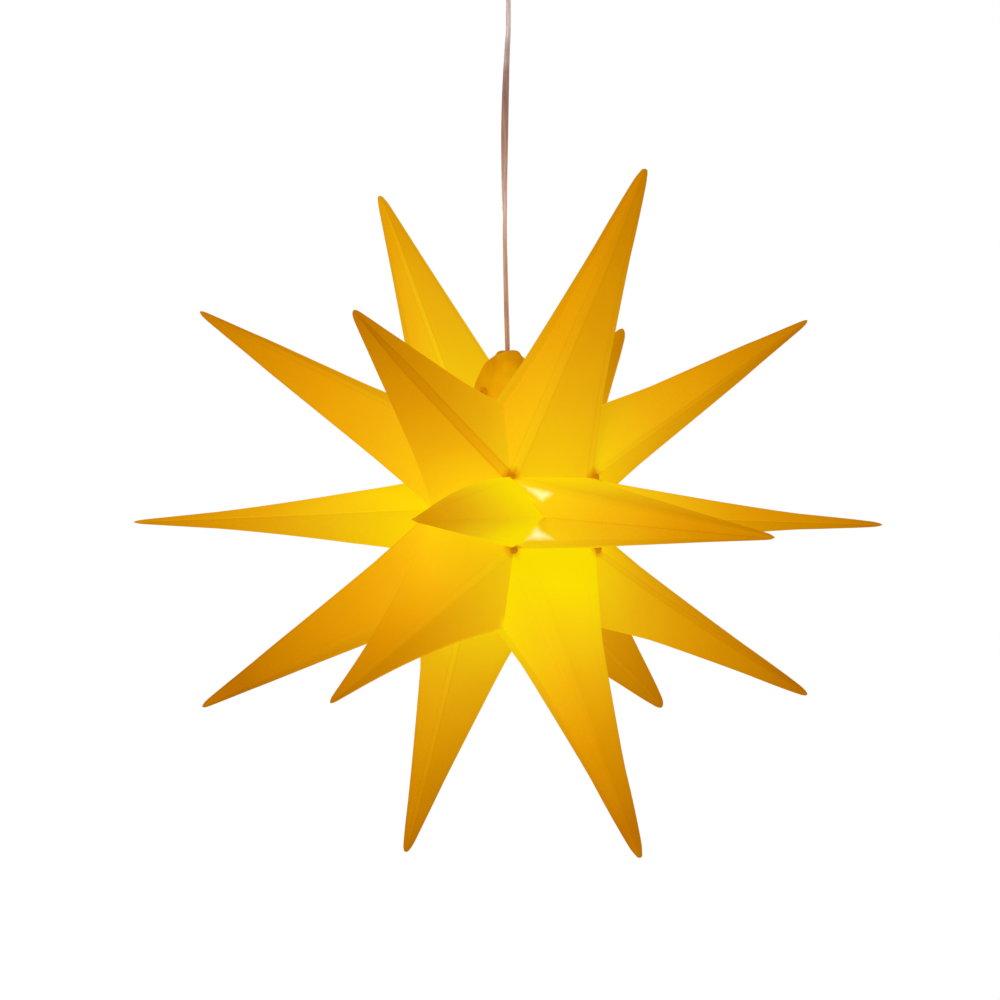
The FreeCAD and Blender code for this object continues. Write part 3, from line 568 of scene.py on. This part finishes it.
feed(wire.step("ValToRGB", {"stops": ((0.3, (0.34, 0.33, 0.30)), (0.7, (0.40, 0.39, 0.36)))}, {"Fac": frost}),
     globe_shader, "Base Color")
feed(wire.step("Bump", {}, {"Strength": 0.15, "Distance": 0.0001, "Height": frost}), globe_shader, "Normal")
dress(globe_paint, "lamp_globe")

# Film star: six leaves of thin yellow film. Each is two sheets welded together along the outline of half a
# six-pointed star, with a flattened crease up each point from its corners, and is opened out between the
# folds to its neighbours. The points taper to blunt welded tips, and no two lean quite alike.
STAR_REACH = 0.285
SIDE_REACH = 0.275
SIDE_LATITUDE = 53.5
TIP_OVERSHOOT = 0.017
TIP_PLACES = ((SIDE_LATITUDE, SIDE_REACH), (0.0, STAR_REACH), (-SIDE_LATITUDE, SIDE_REACH))
CORNER_RADIUS = 0.070
CORNER_LATITUDE = 35.0
VALLEY_RADIUS = 0.104
VALLEY_LATITUDE = 26.0
POLE_RADIUS = 0.072
POLE_LATITUDE = 90.0
NEAR_POLE_RISE = 0.006
HALF_LEAF = 30.0
FOLD_OVERLAP = 0.04
LOW_FOLD_LONGITUDE = 330.0
LOW_FOLD_LIFT = 6.0
FILM = 0.0004
WELD_WIDTH = 0.0007
WELD_THICKNESS = 0.0006
WELD_BAND = 0.0016
# Painted highlight: the weld fins are painted a little lighter than the film beside them.
WELD_HIGHLIGHT = -0.02
COLUMNS = 10
# The rings of a point, from its base to its end, as shares of the way from its apex back to its base.
RING_SHARES = (1.0, 0.975, 0.94, 0.89, 0.83, 0.76, 0.69, 0.62, 0.55, 0.48, 0.41, 0.34, 0.27, 0.21, 0.165,
               0.135, 0.112, 0.096, 0.084, 0.074, 0.067)
BLUNT_FROM = 0.105
BLUNT_WIDTH = 0.24
RIDGE_START = 0.07
NO_FOLD = 99.0
# Each leaf's longitude, and how far its near, middle and far tips lean across and round, in degrees.
LEAVES = {
    "leaf_front": (0, (1.0, -1.0), (0.5, -3.0), (3.5, -2.0)),
    "leaf_upper_front": (60, (-0.9, -1.3), (-2.5, 1.5), (3.0, -3.5)),
    "leaf_upper_back": (120, (-3.5, 3.5), (0.0, 1.5), (4.0, 6.0)),
    "leaf_back": (180, (2.0, 1.5), (-1.0, 1.0), (1.0, -1.0)),
    "leaf_lower_back": (240, (2.5, 2.0), (-2.0, 3.0), (0.0, 3.5)),
    "leaf_lower_front": (300, (3.5, 0.5), (0.5, 1.0), (-2.0, 1.5)),
}
# How the film of each point has creased, near, middle and far: half the width of the flattened ridge, how
# flat it is, the swell of the panels, the bow of the upper and of the lower ridge, the strength of the
# painted shade lines along the edges of the flattened ridge, the painted light on the band between them
# (painted shade where it is below nought), and how much further from the light the film looks at the base and
# at the tip, which is painted light and shade.
FIRM = (0.0030, 0.8, 0.020, 0.000, 0.000, 0.35, 0.15, 0.0, 0.0)
SOFT = (0.0090, 0.0, 0.035, 0.001, 0.001, 0.10, 0.10, 0.0, 0.0)
CREASES = {
    "leaf_front": ((0.0070, 0.0, 0.040, 0.0085, 0.000, 0.15, -0.1, -0.21, -0.31),
                   (0.0070, 0.0, 0.020, 0.001, 0.000, 0.2, 0.0, -0.03, -0.10), FIRM),
    "leaf_upper_front": ((0.0046, 1.0, 0.015, 0.000, 0.000, 0.7, -1.0, 0.04, 0.0),
                         (0.0060, 0.5, 0.020, 0.000, 0.000, 0.3, 0.2, 0.08, -0.09), FIRM),
    "leaf_upper_back": ((0.0030, 0.8, 0.020, 0.000, 0.000, 0.35, 0.15, 0.03, -0.02),
                        (0.0035, 0.9, 0.020, 0.000, 0.000, 0.5, 0.6, 0.03, -0.36),
                        (0.0030, 0.8, 0.020, 0.000, 0.000, 0.35, 0.15, -0.08, -0.10)),
    "leaf_back": ((0.0090, 0.0, 0.035, 0.001, 0.001, 0.10, 0.10, -0.08, -0.18), FIRM, SOFT),
    "leaf_lower_back": ((0.0090, 0.0, 0.035, 0.001, 0.001, 0.10, 0.10, 0.03, 0.17),
                        (0.0035, 0.7, 0.020, 0.000, 0.000, 0.4, 0.3, -0.05, 0.0), FIRM),
    "leaf_lower_front": ((0.0038, 0.4, 0.030, 0.001, 0.001, 0.15, 0.2, 0.0, 0.03),
                         (0.0110, 0.0, 0.035, 0.001, 0.001, 0.10, 0.10, -0.18, 0.11),
                         (0.0040, 0.6, 0.025, 0.000, 0.000, 0.4, -0.3, -0.02, 0.08)),
}
# How far the sides of each point draw in between its base and its end, near, middle and far: as a share of
# the width, close to the end, a third of the way down and three quarters of the way down.
DRAW_PLACES = (0.1, 0.35, 0.75, 1.0)
EVEN_DRAW = (0.12, 0.13, 0.10)
DRAWS = {
    "leaf_front": ((0.10, 0.02, 0.00), (0.05, 0.08, 0.06), (0.00, 0.25, 0.08)),
    "leaf_upper_front": ((0.22, 0.12, 0.08), (0.00, 0.12, 0.10), (0.25, 0.08, 0.09)),
    "leaf_upper_back": ((0.20, 0.06, 0.06), (0.10, 0.11, 0.10), EVEN_DRAW),
    "leaf_back": ((0.36, 0.34, 0.10), EVEN_DRAW, EVEN_DRAW),
    "leaf_lower_back": ((0.28, 0.14, 0.10), (0.13, 0.15, 0.12), EVEN_DRAW),
    "leaf_lower_front": ((0.50, 0.35, 0.15), (0.08, 0.24, 0.17), (0.15, 0.20, 0.14)),
}


def star_place(latitude, longitude, radius):
    """Place on a sphere round the star's middle: latitude to the near side, longitude from front to top."""
    across = math.radians(latitude)
    around = math.radians(longitude)
    flat = radius * math.cos(across)
    offset = Vector((-radius * math.sin(across), -flat * math.cos(around), flat * math.sin(around)))
    return STAR_MIDDLE + offset


def fold_longitude(even):
    """Longitude of a fold between two leaves: the one under the front leaf is drawn up."""
    lift = LOW_FOLD_LIFT if abs(even % 360.0 - LOW_FOLD_LONGITUDE) < 1.0 else 0.0
    return even + lift


def pole_place(side):
    """End of the fold spine on the near side, 1, where the film has drawn it up, or on the far side, -1."""
    rise = NEAR_POLE_RISE if side == 1 else 0.0
    return star_place(side * POLE_LATITUDE, 0.0, POLE_RADIUS) + Vector((0.0, 0.0, rise))


def leaf_bases(longitude):
    """Bases of a leaf's near, middle and far points: each has its corners in turn, at a weld or a fold."""
    folds = {turn: fold_longitude(longitude + turn * HALF_LEAF) + turn * FOLD_OVERLAP for turn in (1, -1)}
    corners = {(side, turn): star_place(side * CORNER_LATITUDE, folds[turn], CORNER_RADIUS)
               for side in (1, -1) for turn in (1, -1)}
    valleys = {side: star_place(side * VALLEY_LATITUDE, longitude, VALLEY_RADIUS) for side in (1, -1)}
    middle = [(valleys[1], "weld"), (corners[1, 1], "fold"), (corners[-1, 1], "fold"),
              (valleys[-1], "weld"), (corners[-1, -1], "fold"), (corners[1, -1], "fold")]
    near, far = ([(pole_place(side), "weld"), (corners[side, 1], "fold"), (valleys[side], "weld"),
                  (corners[side, -1], "fold")] for side in (1, -1))
    return near, middle, far


def base_middle(base):
    """Middle of a point's base."""
    return sum((corner for corner, kind in base), Vector()) / len(base)


def film_ring(base, apex, share, band):
    """Places round one ring of a point, each with its distance from a ridge, in bands."""
    corners = [(apex.lerp(corner, share), kind) for corner, kind in base]
    places = []
    for number, (corner, kind) in enumerate(corners):
        following, next_kind = corners[(number + 1) % len(corners)]
        width = (following - corner).length
        first, last = (min(band if edge == "fold" else WELD_BAND, 0.2 * width) for edge in (kind, next_kind))
        steps = [0.0, first / 2, first]
        steps += [first + (width - first - last) * step / (COLUMNS - 4) for step in range(1, COLUMNS - 4)]
        steps += [width - last, width - last / 2]
        for gap in steps:
            fold = min(gap / first if kind == "fold" else NO_FOLD,
                       (width - gap) / last if next_kind == "fold" else NO_FOLD)
            places.append((corner.lerp(following, gap / width), fold))
    return places


def narrowing(share, draw):
    """How narrow a ring is: its sides draw in along the point, and its end is rounded."""
    rise = min(1.0, max(0.0, (share - RING_SHARES[-1]) / (BLUNT_FROM - RING_SHARES[-1])))
    depths = (*draw, 0.0)
    depth = draw[0]
    for low, high, start, end in zip(DRAW_PLACES, DRAW_PLACES[1:], depths, depths[1:]):
        if low < share <= high:
            depth = start + (end - start) * (share - low) / (high - low)
    return (1.0 - depth) * (BLUNT_WIDTH + (1.0 - BLUNT_WIDTH) * math.sqrt(1.0 - (1.0 - rise) ** 2))


def flattened(line, place, base, flatness):
    """Place of a ring's point on the curve that flattens a ridge, or None if no ridge is beside it."""
    corner, column = divmod(place, COLUMNS)
    if column == COLUMNS - 1:
        corner = (corner + 1) % len(base)
    if column not in (0, 1, COLUMNS - 1) or base[corner][1] != "fold":
        return None
    ridge = corner * COLUMNS
    before = line[ridge - 2]
    after = line[ridge + 2]
    knee = line[ridge].lerp((before + after) / 2, flatness)
    turn = {0: 0.5, 1: 0.75}.get(column, 0.25)
    return before * (1 - turn) ** 2 + knee * 2 * turn * (1 - turn) + after * turn ** 2


def film_point(base, apex, crease, draw):
    """One hollow point: a ring through the base's corners, extruded and drawn in towards the apex."""
    band, flatness, swell, upper_bow, lower_bow, line_strength, line_tone, base_tone, tip_tone = crease
    count = len(base) * COLUMNS
    bpy.ops.object.select_all(action="DESELECT")
    bpy.ops.mesh.primitive_circle_add(vertices=count, radius=CORNER_RADIUS)
    point = bpy.context.object
    for vertex, (place, fold) in zip(point.data.vertices, film_ring(base, apex, 1.0, band)):
        vertex.co = place
    bpy.ops.object.mode_set(mode="EDIT")
    bpy.ops.mesh.select_all(action="SELECT")
    for share, following in zip(RING_SHARES, RING_SHARES[1:]):
        bpy.ops.mesh.extrude_region_move()
        scale = following / share
        bpy.ops.transform.resize(value=(scale, scale, scale), center_override=apex)
    bpy.ops.mesh.edge_face_add()
    bpy.ops.object.mode_set(mode="OBJECT")
    layers = point.data.attributes
    for name in ("fold_share", "line_strength", "line_tone", "tone", "corner_gap"):
        layers.new(name, "FLOAT", "POINT")
    middle = base_middle(base)
    for row, share in enumerate(RING_SHARES):
        ring = film_ring(base, apex, share, band)
        line = [place for place, fold in ring]
        centre = apex.lerp(middle, share)
        fullness = math.sin(math.pi * (1.0 - share) ** 0.75)
        started = min(1.0, (1.0 - share) / RIDGE_START)
        # Painted light and shade: each point's own tone, shifted from its base to its tip.
        tone = base_tone + (tip_tone - base_tone) * (1.0 - share)
        for place in range(count):
            side = place // COLUMNS
            kind = base[side][1]
            next_kind = base[(side + 1) % len(base)][1]
            curve = flattened(line, place, base, flatness)
            spot = line[place].copy() if curve is None else line[place].lerp(curve, started)
            first = line[side * COLUMNS]
            last = line[(side + 1) * COLUMNS % count]
            width = (last - first).length
            across = (line[place] - first).length / width
            outward = (last - first).cross(apex - first).normalized()
            if outward.dot(line[place] - centre) < 0:
                outward.negate()
            spot += outward * (swell * fullness * 4.0 * across * (1.0 - across) * width)
            nearness = (1.0 - across) * (kind == "fold") + across * (next_kind == "fold")
            bow = upper_bow if line[place].z > centre.z else lower_bow
            spot += (spot - centre).normalized() * (bow * fullness * min(1.0, nearness) ** 1.5)
            number = row * count + place
            point.data.vertices[number].co = centre.lerp(spot, narrowing(share, draw))
            layers["fold_share"].data[number].value = ring[place][1]
            # Painted shade lines along the edges of the flattened ridge, and painted light on the band
            # between them.
            layers["line_strength"].data[number].value = line_strength
            layers["line_tone"].data[number].value = line_tone
            layers["tone"].data[number].value = tone
            layers["corner_gap"].data[number].value = min((line[place] - corner).length
                                                          for corner, edge in base if edge == "fold")
    return point


def weld_fin(foot, other, base, apex, tones, draw):
    """Thin flat fin where two sheets are welded, from the foot of a point to its tip, away from the other."""
    along = (apex - foot).normalized()
    outward = foot - other
    outward = (outward - along * outward.dot(along)).normalized()
    middle = base_middle(base)
    bpy.ops.object.select_all(action="DESELECT")
    bpy.ops.mesh.primitive_grid_add(x_subdivisions=len(RING_SHARES) - 1, y_subdivisions=1, size=STAR_REACH)
    fin = bpy.context.object
    vertices = sorted(fin.data.vertices, key=lambda vertex: (round(vertex.co.x, 5), vertex.co.y))
    layers = fin.data.attributes
    for name in ("fold_share", "tone", "corner_gap"):
        layers.new(name, "FLOAT", "POINT")
    for number, vertex in enumerate(vertices):
        share = RING_SHARES[number // 2]
        root = apex.lerp(middle, share).lerp(apex.lerp(foot, share), narrowing(share, draw))
        reach = WELD_WIDTH * min(1.0, (1.0 - share) * 14.0 + 0.25, (share - RING_SHARES[-1]) * 9.0)
        vertex.co = root + outward * (reach if number % 2 else -2 * FILM)
        layers["fold_share"].data[vertex.index].value = NO_FOLD
        layers["corner_gap"].data[vertex.index].value = 1.0
        layers["tone"].data[vertex.index].value = tones[0] + (tones[1] - tones[0]) * (1.0 - share) + WELD_HIGHLIGHT
    solidify = fin.modifiers.new("weld", "SOLIDIFY")
    solidify.thickness = WELD_THICKNESS
    solidify.offset = 0.0
    bpy.ops.object.modifier_apply(modifier=solidify.name)
    return fin


film_leaves = {}
for name, (longitude, *leans) in LEAVES.items():
    skins = []
    fins = []
    for (latitude, reach), (lean_across, lean_round), base, crease, draw in zip(
            TIP_PLACES, leans, leaf_bases(longitude), CREASES[name], DRAWS[name]):
        apex = star_place(latitude + lean_across, longitude + lean_round, reach + TIP_OVERSHOOT)
        skins.append(film_point(base, apex, crease, draw))
        ends = [corner for corner, kind in base if kind == "weld"]
        for foot, other in (ends, ends[::-1]):
            fins.append(weld_fin(foot, other, base, apex, crease[-2:], draw))
    leaf = join_pieces(name.replace("leaf", "film"), skins)
    bpy.ops.object.mode_set(mode="EDIT")
    bpy.ops.mesh.select_all(action="SELECT")
    bpy.ops.mesh.remove_doubles(threshold=0.00002)
    bpy.ops.mesh.normals_make_consistent(inside=False)
    bpy.ops.object.mode_set(mode="OBJECT")
    thickness = leaf.modifiers.new("film", "SOLIDIFY")
    thickness.thickness = FILM
    thickness.offset = -1.0
    bpy.ops.object.modifier_apply(modifier=thickness.name)
    leaf = join_pieces(leaf.name, [leaf, *fins])
    bpy.ops.object.shade_smooth_by_angle(angle=math.radians(32.0))
    film_leaves[name] = leaf

# Each tone has its place on the way from the star's middle to a tip, its share of glow, its share of dye and
# its colour on a screen. The film is no lamp: the light of the lamp inside is painted into it, as an emission
# glow and in a base colour that darkens towards the tips as painted shade. Close to the lamp the film glows
# more than it is lit from outside.
FILM_TONES = ((0.12, 0.74, 0.28, (255, 228, 12)), (0.22, 0.64, 0.38, (254, 217, 20)),
              (0.31, 0.55, 0.48, (250, 203, 24)), (0.43, 0.48, 0.57, (242, 181, 22)),
              (0.56, 0.46, 0.60, (232, 162, 16)), (0.70, 0.46, 0.60, (218, 145, 10)),
              (0.85, 0.46, 0.60, (204, 130, 8)), (0.95, 0.46, 0.60, (190, 115, 8)))
PAINTED_GLOW = 1
DYE = 2
TIP_DISTANCE = 0.30
CORNER_SHADE_REACH = 0.0085
# Where the front leaf's valley comes closest to the lamp, the lamp's light is painted as a small pale
# three-cornered patch on the film on each side of its middle: corners across and above the star's middle,
# square to the fold.
GLARES = (((0.0072, 0.0246), (0.0352, 0.0176), (0.0242, 0.0094)),
          ((0.0096, -0.0184), (0.0206, -0.0062), (0.0346, -0.0170)))
GLARE_TURN = math.radians(40.9)
GLARE_DEPTH = 0.05
GLARE_EDGE = 0.0040
GLARE_COLOUR = (0.80, 0.78, 0.36, 1.0)


def amber(tones, light):
    """Ramp stops for the painted glow or the dye of film lit from inside, with its painted shade, from tones
    with their shares and screen colours.
    """
    stops = []
    for tone in tones:
        stops.append((tone[0], tuple(tone[light] * (level / 255.0) ** 2.2 for level in tone[-1])))
    return stops


film_paint, film_shader, wire = new_paint("yellow_film", Roughness=0.6, Emission_Strength=1.0,
                                          Specular_IOR_Level=0.0)
place = wire.step("TexCoord", {}, {}, output="Object")
offset = wire.step("VectorMath", {"operation": "DISTANCE"}, {0: place, 1: STAR_MIDDLE}, output="Value")
cloud = wire.step("TexNoise", {}, {"Vector": place, "Scale": 14.0, "Detail": 3.0, "Roughness": 0.55})
fold_share, line_strength, line_tone, tone, corner_gap = (
    wire.step("Attribute", {"attribute_name": name}, {}, output="Fac")
    for name in ("fold_share", "line_strength", "line_tone", "tone", "corner_gap"))
# Painted shade: a darker line along each edge of a flattened ridge. The band between them is painted lighter
# by its band light, and darker where that is below nought.
crease_shade_line = wire.maths("MAXIMUM", 1.0 - wire.maths("ABSOLUTE", fold_share - 1.0, 0.0) * 3.0, 0.0)
inside = wire.maths("MINIMUM", wire.maths("MAXIMUM", (1.15 - fold_share) * 3.0, 0.0), 1.0)
# Painted shade: the film darkens close to each corner where three ridges meet.
corner_shade = wire.maths("MAXIMUM", 1.0 - corner_gap / CORNER_SHADE_REACH, 0.0)
# The place on the lit ramp: distance from the lamp, a random cloud, each point's painted light and shade
# tone, the painted crease lines and band, and the painted shade in the corners.
reach = (offset / TIP_DISTANCE + (cloud - 0.5) * 0.10 + tone + crease_shade_line * line_strength * 0.16
         - inside * line_tone * 0.10 + corner_shade * 0.45)
# Painted light: the emission is the painted glow of the lamp inside, and the base colour carries painted
# shade that deepens towards the tips.
painted_glow = wire.step("ValToRGB", {"stops": amber(FILM_TONES, PAINTED_GLOW)}, {"Fac": reach})
dye_and_painted_shade = wire.step("ValToRGB", {"stops": amber(FILM_TONES, DYE)}, {"Fac": reach})
ragged = wire.step("TexNoise", {}, {"Vector": place, "Scale": 120.0, "Detail": 2.0})
turned = wire.step("Mapping", {}, {"Vector": place, "Location": (0.0, 0.0, -STAR_MIDDLE.z),
                                   "Rotation": (0.0, 0.0, GLARE_TURN)})
facing = (wire.step("SeparateXYZ", {}, {"Vector": turned}, output="Y") + GLARE_DEPTH) * -100.0
patches = []
for corners in GLARES:
    patch = facing
    for (across, up), (next_across, next_up) in zip(corners, corners[1:] + corners[:1]):
        length = math.hypot(next_across - across, next_up - up)
        square = Vector(((next_up - up) / length, 0.0, (across - next_across) / length))
        gap = wire.step("VectorMath", {"operation": "DOT_PRODUCT"}, {0: turned, 1: tuple(square)},
                        output="Value")
        gap = (gap - (across * square.x + up * square.z) + (ragged - 0.5) * 0.003) / GLARE_EDGE
        patch = wire.maths("MINIMUM", patch, gap)
    patches.append(patch)
shine = wire.maths("MINIMUM", wire.maths("MAXIMUM", wire.maths("MAXIMUM", *patches), 0.0), 1.0)
feed(wire.mixed("MIX", shine, painted_glow, GLARE_COLOUR), film_shader, "Emission Color")
feed(dye_and_painted_shade, film_shader, "Base Color")
for name, leaf in film_leaves.items():
    leaf.data.materials.append(film_paint)
    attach(leaf, "lamp")
    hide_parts(name)

# Rivets: one in each corner where three ridges meet and one at each end of the spine. They are dark amber
# plastic, with a low domed head in the crotch of the folds, a stem through the film and a flat tail inside.
# Their dark colour is partly painted shade of that crotch, and their emission is a painted glow of the lamp
# inside.
RIVET_SIDES = 24
CLOSING_LONGITUDE = 90
# Radius and distance from the star's middle along a rivet, in millimetres, from its head to its tail.
RIVET_OUTLINE = ((0.0, 74.4), (0.9, 74.3), (1.8, 74.0), (2.5, 73.5), (2.9, 72.9), (2.9, 72.5), (2.4, 72.2),
                 (1.2, 72.1), (1.2, 66.2), (2.1, 66.1), (2.3, 65.6), (2.2, 64.9), (1.6, 64.5), (0.0, 64.4))
RIVET_TONES = ((0.36, 0.60, 0.42, (218, 144, 8)), (0.64, 0.60, 0.42, (198, 120, 4)))
bpy.ops.object.select_all(action="DESELECT")
bpy.ops.mesh.primitive_circle_add(vertices=RIVET_SIDES, radius=1.0)
rivet = bpy.context.object
bpy.ops.object.mode_set(mode="EDIT")
bpy.ops.mesh.select_all(action="SELECT")
for step in range(len(RIVET_OUTLINE) - 1):
    bpy.ops.mesh.extrude_region_move()
bpy.ops.object.mode_set(mode="OBJECT")
for number, vertex in enumerate(rivet.data.vertices):
    radius, height = RIVET_OUTLINE[number // RIVET_SIDES]
    angle = 2 * math.pi * (number % RIVET_SIDES) / RIVET_SIDES
    vertex.co = (radius / 1000 * math.cos(angle), radius / 1000 * math.sin(angle), height / 1000)
bpy.ops.object.mode_set(mode="EDIT")
bpy.ops.mesh.select_all(action="SELECT")
bpy.ops.mesh.remove_doubles(threshold=0.00001)
bpy.ops.mesh.normals_make_consistent(inside=False)
bpy.ops.object.mode_set(mode="OBJECT")
bpy.ops.object.shade_smooth_by_angle(angle=math.radians(50.0))
rivet_paint, rivet_shader, wire = new_paint("amber_rivet_painted_shade_and_glow", Emission_Strength=1.0,
                                            Specular_IOR_Level=0.05)
place = wire.step("TexCoord", {}, {}, output="Object")
grain = wire.step("TexNoise", {}, {"Vector": place, "Scale": 420.0, "Detail": 3.0})
for light, socket in ((PAINTED_GLOW, "Emission Color"), (DYE, "Base Color")):
    feed(wire.step("ValToRGB", {"stops": amber(RIVET_TONES, light)}, {"Fac": grain}), rivet_shader, socket)
feed(0.4 + 0.2 * grain, rivet_shader, "Roughness")
feed(wire.step("Bump", {}, {"Strength": 0.2, "Distance": 0.0001, "Height": grain}), rivet_shader, "Normal")
corner_places = [star_place(side * CORNER_LATITUDE, fold_longitude(even), CORNER_RADIUS)
                 for even in range(30, 360, 60) if even != CLOSING_LONGITUDE for side in (1, -1)]
pole_places = [pole_place(side) for side in (1, -1)]
for name, node, places in (("corner_studs", "corner_rivets", corner_places),
                           ("spine_studs", "spine_rivets", pole_places)):
    heads = []
    for place in places:
        head = rivet.copy()
        head.data = rivet.data.copy()
        bpy.context.scene.collection.objects.link(head)
        facing = (place - STAR_MIDDLE).to_track_quat("Z", "Y")
        head.data.transform(Matrix.Translation(STAR_MIDDLE) @ facing.to_matrix().to_4x4())
        heads.append(head)
    studs = join_pieces(name, heads)
    studs.data.materials.append(rivet_paint)
    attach(studs, "lamp")
    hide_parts(node)
bpy.data.objects.remove(rivet)

# Closing tabs: two round ears of the same film that close the top of the star. Each is pressed out to half
# wrap the lampholder, narrows over its shoulder to the cord, and two press studs hold the pair together.
# Their emission is a painted glow of the lamp inside, and they are painted darker towards the top, as shade
# where the lampholder keeps the lamp's light off them.
TAB_RADIUS = 0.033
TAB_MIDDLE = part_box("closing_tab_front")[1].z - TAB_RADIUS
TAB_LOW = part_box("closing_tab_front")[0].z
TAB_GAP = 0.0007
TAB_TONES = ((0.36, 0.47, 0.60, (240, 182, 20)), (0.54, 0.47, 0.60, (226, 163, 14)),
             (0.68, 0.47, 0.60, (206, 141, 10)))
# How far a tab stands out round what it wraps, at levels up the lampholder to the cord.
WRAP_LEVELS = ((-0.3900, 0.0148), (-0.3470, 0.0148), (-0.3400, 0.0118), (-0.3350, 0.0096), (-0.3290, 0.0082),
               (-0.3240, 0.0044), (-0.3200, 0.0040))
WRAP_FLANK = 0.907
LEAST_FLANK = 0.0095
CROWN_RISE = 0.0022
CROWN_WIDTH = 0.012
RIPPLE = 0.0004


def wrap_at(level):
    """How far a tab stands out at a level, eased from each step to the next."""
    for (low, start), (high, end) in zip(WRAP_LEVELS, WRAP_LEVELS[1:]):
        if level <= high:
            share = (level - low) / (high - low)
            return start + (end - start) * share * share * (3.0 - 2.0 * share)
    return WRAP_LEVELS[-1][1]


tab_paint, tab_shader, wire = new_paint("amber_tab_film", Roughness=0.6, Emission_Strength=1.0,
                                        Specular_IOR_Level=0.0)
place = wire.step("TexCoord", {}, {}, output="Object")
mottle = wire.step("TexNoise", {}, {"Vector": place, "Scale": 55.0, "Detail": 4.0, "Roughness": 0.6})
level = wire.step("SeparateXYZ", {}, {"Vector": place}, output="Z")
# Painted shade: darker towards the top of the tab, plus a random mottle.
deep = (level - TAB_LOW) / (2 * TAB_RADIUS) * 0.3 + mottle * 0.35 + 0.17
for light, socket in ((PAINTED_GLOW, "Emission Color"), (DYE, "Base Color")):
    feed(wire.step("ValToRGB", {"stops": amber(TAB_TONES, light)}, {"Fac": deep}), tab_shader, socket)
for name, node, side in (("tab_film_front", "closing_tab_front", -1.0),
                         ("tab_film_back", "closing_tab_back", 1.0)):
    bpy.ops.object.select_all(action="DESELECT")
    bpy.ops.mesh.primitive_grid_add(x_subdivisions=64, y_subdivisions=64, size=2.0)
    tab = bpy.context.object
    tab.name = name
    for vertex in tab.data.vertices:
        u, v = vertex.co.x, vertex.co.y
        across = TAB_RADIUS * u * math.sqrt(1.0 - v * v / 2)
        up = max(TAB_MIDDLE + TAB_RADIUS * v * math.sqrt(1.0 - u * u / 2), TAB_LOW)
        crown = CROWN_RISE * max(0.0, v) ** 4 * math.exp(-(across / CROWN_WIDTH) ** 2)
        wrap = wrap_at(up)
        rise = wrap * math.exp(-(across / max(WRAP_FLANK * wrap, LEAST_FLANK)) ** 4)
        ripple = RIPPLE * math.sin(across * 260.0 + up * 150.0) * (1.0 - rise / 0.015)
        vertex.co = (across, side * (TAB_GAP + rise + ripple), up + crown)
    bpy.ops.object.mode_set(mode="EDIT")
    bpy.ops.mesh.select_all(action="SELECT")
    bpy.ops.mesh.normals_make_consistent(inside=False)
    bpy.ops.object.mode_set(mode="OBJECT")
    sheet = tab.modifiers.new("film", "SOLIDIFY")
    sheet.thickness = FILM
    sheet.offset = 0.0
    bpy.ops.object.modifier_apply(modifier=sheet.name)
    bpy.ops.object.shade_smooth_by_angle(angle=math.radians(40.0))
    tab.data.materials.append(tab_paint)
    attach(tab, "lamp")
    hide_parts(node)
# The press studs take the rivets' paint, with its painted glow.
dress(rivet_paint, "stud_caps", "stud_sockets")
